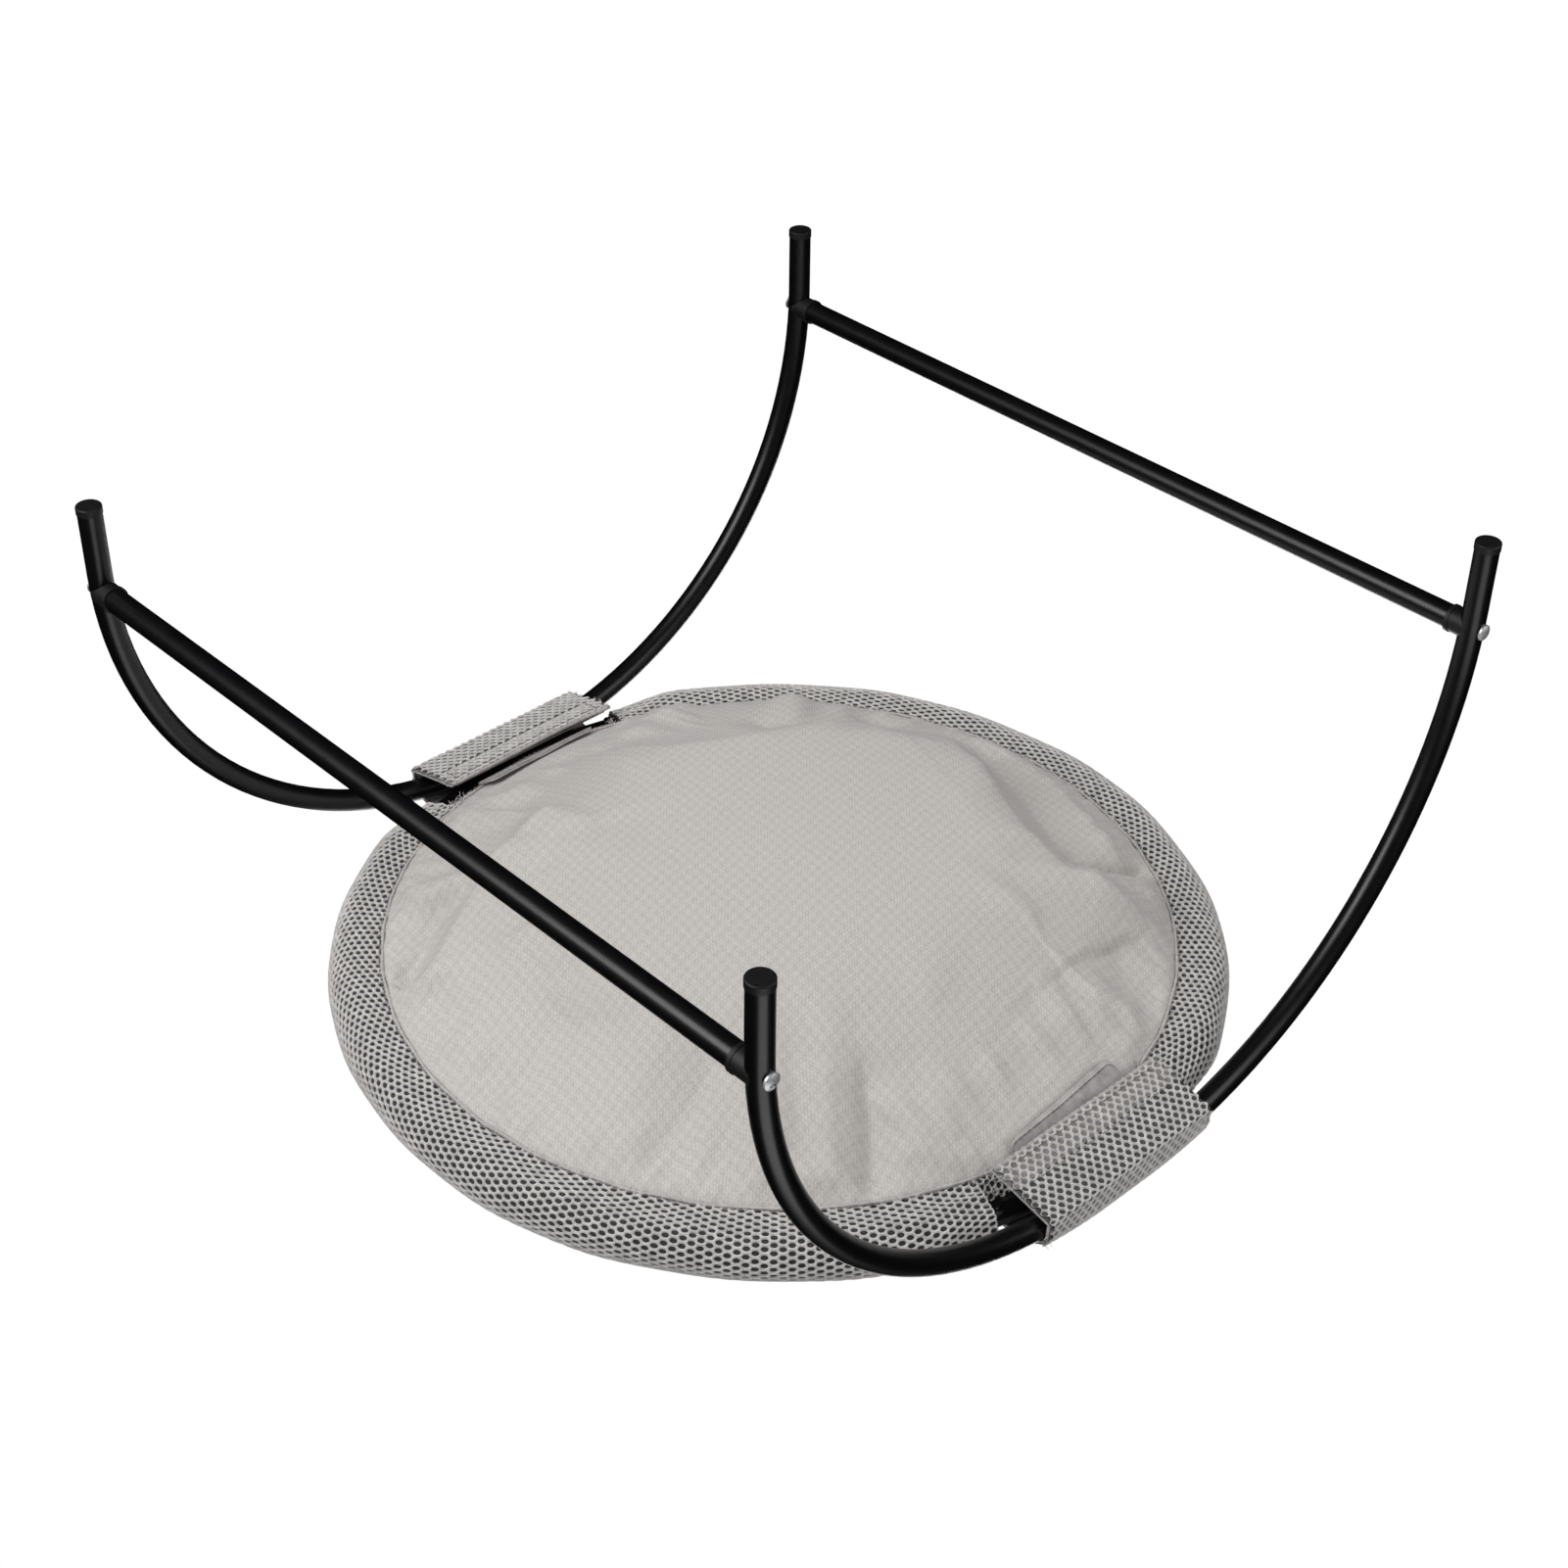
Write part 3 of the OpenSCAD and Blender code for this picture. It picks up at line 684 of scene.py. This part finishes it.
def build_sleeve_tails():
    """Crumpled, frayed end of each sleeve's mesh, left between the basin's rim, the hoop and a strap."""
    rng = np.random.default_rng(11)
    strap_angle = math.asin((STRAP_HALF - 11 * MM) / SEAM_R)
    flat, faces = net_of_cells(0, TAIL_CELLS, TAIL_ROWS, *TAIL_CELL, TAIL_HOLE)
    length, width = TAIL_CELLS * TAIL_CELL[0], (TAIL_ROWS + 0.5) * TAIL_CELL[1]
    even = np.linspace(0, 1, 12)
    for number, (base, way) in enumerate([(0.0, 1), (0.0, -1), (math.pi, 1), (math.pi, -1)]):
        angles = np.linspace(START_ANGLE + 0.012, strap_angle, TAIL_COUNTS[0]) * way + base
        surface = surface_of(tail_grid(rng, angles[::way])[::-1])
        points = surface(flat[:, 0] / length, flat[:, 1] / width, flat[:, 2])
        core, core_faces, _ = slab(surface, even, even, -1.0 * MM, -1.6 * MM)
        net = new_piece("sleeve_tail_%d" % number, points, faces, [YARN])
        # Dark core: painted shade in the net's holes
        inner = new_piece("sleeve_tail_core_%d" % number, core, core_faces, [STRAP_INSIDE_SHADE])
        cut = surface(np.full(12, 0.5), np.linspace(0.1, 0.95, 12), np.full(12, 0.2 * MM))
        threads = loose_threads(rng, cut, (0, 0, -0.7), 16, 5 * MM)
        fray = new_piece("sleeve_fray_%d" % number, *threads, [FRAY])
        settle(STILL, "spacer_mesh", net, inner, fray)


# ---- Basin ----

BASIN_CELLS = 108
SEWN_SHARE = 0.9985
# How much deeper than a ball's cap the cloth hangs part of the way out, and how near the seam folds die out
FULLNESS, FOLD_HOLD = 0.34, 11 * MM
# Gathers at the seam: height, and the distance inwards and width of the ring that they fill
GATHER, GATHER_IN, GATHER_WIDTH = 0.75 * MM, 6 * MM, 7 * MM
PUFF_FRAMES, PUFF_MOST = 24, 6 * MM
PUFF_CLOTH = {
    "quality": 6, "mass": 0.3, "tension_stiffness": 12, "compression_stiffness": 12, "shear_stiffness": 4,
    "bending_stiffness": 0.9, "use_pressure": True, "uniform_pressure_force": 0.9, "shrink_min": -0.03,
    "vertex_group_mass": "sewn_edge"}
SEAM_STITCH = 3.1 * MM

# Folds of the hanging cloth, in mm: height outwards, widths to the left and right of the line, roundness, the line
FOLDS = [
    (9.0, 42, 10, 3.5, [(-62, -176), (-22, -152), (15, -134), (45, -118), (72, -108), (98, -108), (120, -118),
                        (140, -126), (154, -120)]),
    (5.5, 40, 13, 4.0, [(-168, 6), (-132, -8), (-107, -18), (-88, -38), (-76, -62), (-70, -98),
                        (-62, -132), (-52, -156)]),
    (-6.0, 9, 13, 4.0, [(-130, -88), (-98, -92), (-84, -112), (-79, -140), (-80, -172)]),
    (5.0, 20, 14, 6.0, [(-190, -62), (-168, -84), (-144, -104), (-120, -132), (-98, -164)]),
    (-7.5, 12, 11, 3.0, [(-48, -190), (-6, -170), (40, -148), (70, -136), (93, -137)]),
    (6.5, 12, 9, 3.0, [(-60, -184), (-20, -190), (22, -184), (60, -170), (92, -158), (112, -150)]),
    (-13.0, 3.6, 3.6, 0.8, [(82, -118), (93, -137), (99, -156), (101, -196)]),
    (8.0, 7, 12, 2.0, [(98, -112), (111, -134), (124, -152), (138, -162)]),
    (10.5, 9, 32, 2.5, [(-112, 48), (-106, 92), (-94, 126), (-80, 156), (-66, 186)]),
    (-9.0, 10, 9, 2.0, [(-120, 118), (-112, 136), (-99, 158), (-86, 182)]),
    (5.5, 6, 7, 1.8, [(-148, 132), (-126, 134), (-108, 118)]),
    (-6.0, 13, 13, 4.0, [(-16, 112), (0, 146), (14, 178), (22, 198)]),
    (3.5, 14, 14, 5.0, [(-48, 120), (-34, 160), (-24, 196)]),
    (-6.5, 13, 10, 3.0, [(70, 100), (86, 136), (104, 172)]),
    (4.0, 15, 12, 4.0, [(46, 110), (60, 150), (74, 188)]),
    (-8.5, 4.5, 10, 1.4, [(118, 58), (134, 71), (150, 84), (166, 99), (186, 114)]),
    (4.5, 12, 8, 3.0, [(112, 78), (132, 94), (150, 110), (164, 122)]),
    (-3.0, 12, 16, 6.0, [(138, -106), (160, -86), (172, -70)]),
    (3.5, 22, 18, 8.0, [(-132, 70), (-104, 52), (-78, 62)]),
    (-3.0, 8, 8, 2.5, [(160, -104), (176, -92), (190, -76)]),
]


def fold_drop(x, y):
    """How far the folds push the hanging cloth outwards at each place, in mm."""
    total = np.zeros_like(x)
    for height, left, right, round_off, line in FOLDS:
        line = np.array(line, float)
        best, side, share = np.full(x.shape, np.inf), np.zeros_like(x), np.zeros_like(x)
        reach = reach_of(line)
        steps = np.diff(reach)
        for n in range(len(line) - 1):
            a, d = line[n], line[n + 1] - line[n]
            t = np.clip(((x - a[0]) * d[0] + (y - a[1]) * d[1]) / (d @ d), 0, 1)
            gap = np.hypot(x - a[0] - t * d[0], y - a[1] - t * d[1])
            near = gap < best
            best = np.where(near, gap, best)
            side = np.where(near, (d[0] * (y - a[1]) - d[1] * (x - a[0])) / steps[n], side)
            share = np.where(near, (reach[n] + t * steps[n]) / reach[-1], share)
        lean = smooth_step(side / (2 * round_off) + 0.5)
        width = left * lean + right * (1 - lean)
        ends = smooth_step(share / 0.22) * smooth_step((1 - share) / 0.18)
        total += height * np.exp(-(np.sqrt(best ** 2 + round_off ** 2) - round_off) / width) * ends
    return total


def basin_height(r, low_z, rim_z):
    """Height of a ball's cap that hangs from the rim to its lowest point."""
    sag = rim_z - low_z
    ball = (SEAM_R ** 2 + sag ** 2) / (2 * sag)
    return low_z + ball - np.sqrt(ball ** 2 - r ** 2)


def cushion_piece():
    """The flat cushion: a square grid pressed into a disc, with cloth underneath and lining on top."""
    s = np.linspace(-1, 1, BASIN_CELLS + 1)
    a, b = np.meshgrid(s, s, indexing="ij")
    wide = abs(a) >= abs(b)
    angle = np.where(wide, np.where(a != 0, b / np.where(a == 0, 1, a), 0) * math.pi / 4,
                     math.pi / 2 - a / np.where(b == 0, 1, b) * math.pi / 4)
    reach = np.where(wide, a, b)
    x = reach * np.cos(angle) * SEAM_R * SEWN_SHARE
    y = reach * np.sin(angle) * SEAM_R * SEWN_SHARE
    r = np.hypot(x, y)
    under = basin_height(r, BASIN_Z, SEAM_LOW_Z + 0.35 * MM)
    top = basin_height(r, LINING_LOW_Z + 1.2 * MM, LINING_RIM_Z - 0.3 * MM)
    points = np.concatenate([np.stack([x, y, z], -1).reshape(-1, 3) for z in (under, top)])
    rim = rim_of(np.arange(x.size).reshape(x.shape))
    after = np.roll(rim, -1)
    lower = layer_faces(*x.shape, 0, True)
    upper = layer_faces(*x.shape, x.size)
    sides = np.stack([rim, after, after + x.size, rim + x.size], -1)
    return new_piece("basin_cushion", points, np.concatenate([lower, upper, sides]), [KNIT, LINING],
                     [0] * len(lower) + [1] * len(upper) + [0] * len(sides))


def puff_up(cushion):
    """Swells the cushion as cloth held at its sewn edge, which wrinkles it by a few millimetres."""
    before = points_of(cushion.data)
    r = np.hypot(before[:, 0], before[:, 1])
    near_tab = (abs(before[:, 0]) > 178 * MM) & (abs(before[:, 1]) < 52 * MM)
    held = np.nonzero((r > SEAM_R - 5 * MM) | near_tab)[0]
    cushion.vertex_groups.new(name="sewn_edge").add([int(v) for v in held], 1.0, "REPLACE")
    cloth = cushion.modifiers.new("cloth", "CLOTH")
    for name, value in PUFF_CLOTH.items():
        setattr(cloth.settings, name, value)
    cloth.settings.effector_weights.gravity = 0
    cloth.collision_settings.use_collision = False
    cloth.point_cache.frame_start, cloth.point_cache.frame_end = 1, PUFF_FRAMES
    scene = bpy.context.scene
    for step in range(1, PUFF_FRAMES + 1):
        scene.frame_set(step)
    moved = points_of(baked(cushion)) - before
    size = np.linalg.norm(moved, axis=1, keepdims=True) + 1e-9
    # The middle hangs under load, so it wrinkles less than the edge
    share = 0.15 + 0.85 * smooth_step((r - 95 * MM) / (70 * MM))
    moved *= np.minimum(1, PUFF_MOST / size) * share[:, None]
    cushion.modifiers.clear()
    cushion.vertex_groups.clear()
    move_points(cushion.data, before + moved)
    scene.frame_set(1)


def basin_shift(place, below):
    """How far each point of the cushion rises: folds and fullness underneath, and gathers at the seam."""
    x, y = place[:, 0], place[:, 1]
    r, turn = np.hypot(x, y), np.arctan2(y, x)
    near_tab = smooth_step((abs(x) - 160 * MM) / (22 * MM)) * smooth_step((58 * MM - abs(y)) / (14 * MM))
    share = np.minimum(r / SEAM_R, 1)
    full = FULLNESS * (RIM_Z - BASIN_Z) * (share ** 2 - share ** 5)
    drop = fold_drop(x / MM, y / MM) * MM * smooth_step((SEAM_R - r) / FOLD_HOLD) + full
    pleats = (np.sin(turn * 67 + 3 * np.sin(turn * 5)) * (0.55 + 0.45 * np.sin(turn * 9 + 1))
              + 0.5 * np.sin(turn * 113 + 2 * np.sin(turn * 7)))
    gather = GATHER * pleats * np.exp(-((SEAM_R - r - GATHER_IN) / GATHER_WIDTH) ** 2)
    return np.where(below, -drop - gather, gather) * (1 - near_tab)


def build_basin():
    """The padded basin: knitted cloth underneath, lining on top, gathered into the seam all round."""
    cushion = cushion_piece()
    puff_up(cushion)
    fine = cushion.modifiers.new("fine", "SUBSURF")
    fine.levels = fine.render_levels = 1
    shaped = baked(cushion)
    cushion.modifiers.clear()
    cushion.data = shaped
    below = np.ones(len(shaped.vertices), bool)
    for face in shaped.polygons:
        if shaped.materials[face.material_index] == LINING:
            below[list(face.vertices)] = False
    place = points_of(shaped)
    place[:, 2] += basin_shift(place, below)
    move_points(shaped, place)
    settle(STILL, "knit_cloth", cushion)
    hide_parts("under_cloth", "fill_pad", "top_lining")


def build_seam():
    """Rolled edge of cloth where the basin is sewn to the sleeves, drawn in at each stitch."""
    angle = np.linspace(0, 2 * math.pi, 1700, endpoint=False)
    pull = abs(np.sin(math.pi * angle * SEAM_R / SEAM_STITCH))
    radius = 0.5 * MM + (0.45 + 0.2 * np.sin(angle * 53)) * MM * pull ** 0.6
    r = SEAM_R + 0.1 * MM + 0.25 * MM * np.sin(angle * 37 + 2 * np.sin(angle * 5))
    z = SEAM_LOW_Z + 0.05 * MM + 0.3 * MM * np.sin(angle * 29 + 1.0)
    seam = new_piece("basin_seam", *tube_along(round_hoop(r, angle, z), radius, 8, closed=True), [BINDING])
    path = round_hoop(r + 1.5 * MM, angle, z - 0.15 * MM)
    thread = stitches(path, (0, 0, -1), length=2.2 * MM, gap=1.3 * MM, thick=0.34 * MM)
    sewing = new_piece("basin_seam_stitching", *thread, [THREAD])
    settle(STILL, "knit_cloth", seam, sewing)


# ---- Straps ----

WRAP_R = TUBE_R + 3.3 * MM
FLAP_HALF_T = 1.6 * MM
# The strap's net in cells: round the tubes, then from the leg's top to the flap's edge, and along the tubes
BAND_COLUMNS, TURN_COLUMNS, STRAP_ROWS = 12, 20, 22
COLUMNS = BAND_COLUMNS + TURN_COLUMNS
SPLIT = BAND_COLUMNS / COLUMNS
FINE = 8
STRAP_STEP, STRAP_HOLE = 3.3 * MM, (1.42 * MM, 1.5 * MM)
LINING_ROWS, LINING_ACROSS, HOOK_BACK_ROW = {"band": 26, "flap": 60}, 46, 45
FLAP_EDGE = np.array([FLAP_EDGE_X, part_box("flap_right")[0].z + FLAP_HALF_T])
FLAP_RUN = FLAP_EDGE - np.array([HINGE.x, HINGE.z])
FLAP_W = float(np.linalg.norm(FLAP_RUN))
FLAP_DOWN = np.array([-FLAP_RUN[1], FLAP_RUN[0]]) / FLAP_W
FLAP_TIP = FLAP_EDGE + FLAP_DOWN * FLAP_HALF_T
# Distances of the sewn rows from the flap's free edge, and from its ends
HOOK_LINE, HEM, END_HEM = 16.5 * MM, 4.0 * MM, 7 * MM
HOOK_ROWS, HOOKS_IN_ROW = 7, 58
TAB_CORNER, TAB_TAPER, TAB_HEM = 6 * MM, 6 * MM, 3.4 / 21
TAB_COUNTS = 26, 80


def side_piece(name, side, points, faces, materials, face_materials=None):
    """A piece made for the right-hand side, placed on either side and named for it."""
    return new_piece(name + "_" + side, turned(points, side), faces, materials, face_materials)


def strap_line(y):
    """Section of the right-hand strap at a place along it, over both tubes and round the hinge to the edge."""
    hoop = np.array([math.sqrt(HOOP_R ** 2 - y ** 2), HOOP_Z])
    over = max(0.0, abs(y) - CROWN_HALF)
    leg = np.array([LEG_X, LEG_TOP_Z - LEG_BEND_R + math.sqrt(LEG_BEND_R ** 2 - over ** 2)])
    foot = np.array([math.sqrt(SEAM_R ** 2 - y ** 2) + 0.8 * MM, STRAP_FOOT_Z + 0.4 * MM])
    run = (leg - hoop) / np.linalg.norm(leg - hoop)
    top = math.atan2(run[0], -run[1])
    back = foot - hoop
    leave = math.atan2(back[1], back[0]) % (2 * math.pi) - math.acos(WRAP_R / np.linalg.norm(back))
    over_leg = leg + WRAP_R * np.array([math.cos(top), math.sin(top)])
    band = np.concatenate([[foot], arc(hoop, WRAP_R, leave, top), [over_leg]])
    lean = math.atan2(FLAP_DOWN[1], FLAP_DOWN[0])
    bend = arc((HINGE.x, HINGE.z), FLAP_HALF_T, 0, lean, 8)
    turn = np.concatenate([arc(leg, WRAP_R, top, 0), bend, [FLAP_TIP]])
    band, turn = resampled(band, BAND_COLUMNS * FINE + 1), resampled(turn, TURN_COLUMNS * FINE + 1)
    return np.concatenate([band[:-1], turn])


def groove(distance, width):
    """A row of sewing's dip at each distance from it, from 1 at the row to nothing."""
    return np.exp(-(distance / width) ** 2)


def strap_grid():
    """Outside of the right-hand strap, round its section and then along Y, with the flap's sewn rows drawn in."""
    places = np.linspace(-STRAP_HALF, STRAP_HALF, 60)
    sections = np.stack([strap_line(y) for y in places], 1)
    y = np.broadcast_to(places, sections.shape[:2])
    grid = np.stack([sections[:, :, 0], y, sections[:, :, 1]], -1)
    from_edge = np.linalg.norm(sections - FLAP_TIP, axis=2)
    from_end_row = STRAP_HALF - END_HEM - abs(y)
    inside = np.minimum(1, from_end_row / (6 * MM))
    lift = (-0.9 * MM * groove(from_edge - HOOK_LINE, 1.2 * MM) * (inside > 0)
            - 0.7 * MM * groove(from_edge - HEM, 0.9 * MM)
            - 0.6 * MM * groove(from_end_row, 1.1 * MM) * (from_edge < HOOK_LINE)
            + 0.5 * MM * np.sin(np.clip(from_edge / HOOK_LINE, 0, 1) * math.pi) * np.clip(inside, 0, 1)
            + 0.5 * MM * np.sin(y / (17 * MM) + 0.6) * smooth_step(1 - from_edge / (14 * MM)))
    on_flap = np.arange(len(grid))[:, None] > (BAND_COLUMNS + 9) * FINE
    return grid + outward_of(grid) * np.where(on_flap, lift, 0)[..., None]


def build_strap(side):
    """One strap: its netted wrap over the two tubes, and the flap that bends at its lower edge."""
    grid = strap_grid()
    surface = surface_of(grid)
    # Mean lengths of cloth round the section, in the band over the tubes and in the turn and flap
    steps = np.linalg.norm(np.diff(grid, axis=0), axis=2).mean(axis=1)
    split = BAND_COLUMNS * FINE
    lengths = {"band": float(steps[:split].sum()), "flap": float(steps[split:].sum())}
    pitch = 2 * STRAP_HALF / (STRAP_ROWS + 0.5)
    for part, first, last in (("band", 0, BAND_COLUMNS), ("flap", BAND_COLUMNS, COLUMNS)):
        flat, faces = net_of_cells(first, last, STRAP_ROWS, STRAP_STEP, pitch, STRAP_HOLE)
        points = surface(flat[:, 0] / (COLUMNS * STRAP_STEP), flat[:, 1] / (2 * STRAP_HALF), flat[:, 2])
        net = side_piece("strap_%s_net" % part, side, points, faces, [YARN])
        rows = np.linspace(first / COLUMNS, last / COLUMNS, LINING_ROWS[part])
        core, faces, under = slab(surface, rows, np.linspace(0, 1, LINING_ACROSS), -0.95 * MM, -2.5 * MM)
        if part == "flap":
            # The hook tape's back shows through the net, from its row of sewing to the edge
            row = np.array([f[0] for f in faces]) // LINING_ACROSS
            under = np.where(under, 1, np.where(row >= HOOK_BACK_ROW, 2, 0))
        # The top of the layer under the net is dark grey, painted shade in the holes; its underside is the velvet
        # lining
        looks = [STRAP_INSIDE_SHADE, VELVET, HOOK_BACK]
        lining = side_piece("strap_%s_lining" % part, side, core, faces, looks, under)
        for piece in (net, lining):
            if part == "band":
                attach(piece, STILL)
            else:
                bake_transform(piece)
    for part, node in (("band", "strap"), ("flap", "flap")):
        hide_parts("%s_%s" % (node, side))
        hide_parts("%s_lining_%s" % (node, side))
    trim_strap(side, surface, lengths["flap"])


def trim_strap(side, surface, turn_length):
    """Folded edge of the flap, its rows of stitching, and the frayed yarn at the strap's cut ends."""
    flap_body = "strap_flap_" + side
    along = np.linspace(0.01, 0.99, 90)
    last = 1 - 0.4 * MM / (COLUMNS * STRAP_STEP)
    edge = surface(np.full(90, last), along, np.full(90, -1.2 * MM))
    roll = 0.95 * MM + 0.2 * MM * np.sin(np.arange(90) * 1.9)
    bound = side_piece("flap_edge", side, *tube_along(edge, roll, 10), [BINDING])

    def from_edge(distance):
        return 1 - distance / turn_length * (1 - SPLIT)

    middle = along[np.abs(along - 0.5) < 0.44]
    rows = [(np.full(len(middle), from_edge(distance)), middle) for distance in (HEM, HOOK_LINE)]
    rows += [(from_edge(np.linspace(HEM, HOOK_LINE, 12)), np.full(12, end)) for end in (0.062, 0.938)]
    outward = (FLAP_DOWN[0], 0, FLAP_DOWN[1])
    runs = [stitches(surface(across, places, np.full(len(places), 0.1 * MM)), outward)
            for across, places in rows]
    sewing = side_piece("flap_stitching", side, *joined(runs), [THREAD])
    settle(flap_body, "spacer_mesh", bound, sewing)

    rng = np.random.default_rng(3 if side == "left" else 7)
    for name, body, first, last, count, lift, out, threads, reach in (
            ("flap", flap_body, 1 - (1 - SPLIT) * 0.5, 0.99, 16, -0.5 * MM, (0, -0.5), 7, 3 * MM),
            ("strap", STILL, SPLIT + 0.04, SPLIT + 0.16, 12, -0.6 * MM, (0.5, -0.4), 9, 4.5 * MM)):
        ends = []
        for end, way in ((0.004, -1), (0.996, 1)):
            roots = surface(np.linspace(first, last, count), np.full(count, end), np.full(count, lift))
            ends.append(loose_threads(rng, roots, (out[0], way, out[1]), threads, reach))
        settle(body, "spacer_mesh", side_piece(name + "_fray", side, *joined(ends), [FRAY]))


def build_hook_tape(side):
    """Strip of moulded hooks sewn inside the flap's free edge."""
    low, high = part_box("hook_tape_" + side)
    half = (high.y - low.y) / 2
    run = FLAP_RUN / FLAP_W
    base = np.array([HINGE.x, HINGE.z]) - FLAP_DOWN * (FLAP_HALF_T + 0.05 * MM)
    across, along = np.linspace(FLAP_W - 13 * MM, FLAP_W - 1 * MM, 14), np.linspace(half, -half, 60)
    grid = np.zeros((14, 60, 3))
    grid[:, :, 0] = (base[0] + run[0] * across)[:, None]
    grid[:, :, 1] = along
    grid[:, :, 2] = (base[1] + run[1] * across)[:, None]
    surface = surface_of(grid)
    parts = [slab(surface, np.linspace(0, 1, 14), np.linspace(0, 1, 60), 0.55 * MM, 0.0)[:2]]
    up = np.array([-FLAP_DOWN[0], 0, -FLAP_DOWN[1]])
    lean = np.array([run[0], 0, run[1]])
    rise, reach = np.array([0, 0.45, 0.72, 0.62]) * MM, np.array([0, 0, 0.18, 0.42]) * MM
    bends = rise[:, None] * up + reach[:, None] * lean
    thick = np.array([0.2, 0.17, 0.15, 0.1]) * MM
    for i in range(HOOK_ROWS):
        for j in range(HOOKS_IN_ROW):
            place = [(i + 0.5) / HOOK_ROWS], [(j + 0.25 + 0.5 * (i % 2)) / HOOKS_IN_ROW], [0.5 * MM]
            parts.append(tube_along(surface(*np.array(place))[0] + bends, thick, 5))
    tape = side_piece("hook_strip", side, *joined(parts), [HOOKS])
    settle("strap_flap_" + side, "hook_tape", tape)
    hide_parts("hook_tape_" + side)


def build_tab(side):
    """Loop tab under the basin, with a hemmed free edge and rounded corners, a little askew."""
    count_a, count_b = TAB_COUNTS
    along = np.linspace(-TAB_HALF, TAB_HALF, count_b)
    out_x = np.sqrt(SEAM_R ** 2 - along ** 2) + 2 * MM
    past = np.maximum(0, abs(along) - TAB_HALF + TAB_CORNER)
    cut = TAB_CORNER - np.sqrt(np.maximum(0, TAB_CORNER ** 2 - past ** 2))
    in_x = TAB_IN_X + 0.8 * MM + cut * 0.9 + TAB_TAPER / 2 * (1 + along / TAB_HALF)
    share = np.linspace(0, 1, count_a)[:, None]
    x = in_x + (out_x - in_x) * share
    seam_z = SEAM_LOW_Z - 0.6 * MM
    slope = (seam_z - TAB_LOW_Z - 0.6 * MM) / (SEAM_R - TAB_IN_X)
    wave = 0.5 * MM * np.sin(along / (13 * MM)) * (1 - share)
    z = seam_z - (SEAM_R - x) * slope - abs(wave)
    grid = np.stack([x, np.broadcast_to(-along[::-1], x.shape), z], -1)
    surface = surface_of(grid[:, ::-1])
    even = np.linspace(0, 1, count_b)
    points, faces, _ = slab(surface, np.linspace(0, 1, count_a), even, 0.0, -1.1 * MM)
    tab = side_piece("loop_patch", side, points, faces, [VELVET])
    settle(STILL, "loop_velvet", tab)
    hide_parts("loop_tab_" + side)
    points, faces, _ = slab(surface, np.linspace(0.0, TAB_HEM, 8), np.linspace(0.01, 0.99, count_b),
                            0.45 * MM, -1.2 * MM)
    hem = side_piece("loop_patch_hem", side, points, faces, [BINDING])
    run = surface(np.full(60, TAB_HEM + 0.02), np.linspace(0.04, 0.96, 60), np.full(60, 0.25 * MM))
    sewing = side_piece("loop_patch_stitching", side, *stitches(run, (0, 0, -1)), [THREAD])
    settle(STILL, "loop_velvet", hem, sewing)


# ---- The bed ----

for name, piece in frame["nodes"].items():
    if name.startswith(("leg_tube", "crossbar", "hoop_half", "hoop_rivet")):
        finish = STEEL
    elif name.startswith("leg_screw"):
        finish = ZINC
    elif name.startswith(("saddle_plug", "foot_cap")):
        finish = PLASTIC
    else:
        finish = YARN
    piece.data.materials.clear()
    piece.data.materials.append(finish)

set_camera()
set_studio()
build_sleeves()
build_sleeve_tails()
build_basin()
build_seam()
for side in ("left", "right"):
    build_strap(side)
    build_hook_tape(side)
    build_tab(side)
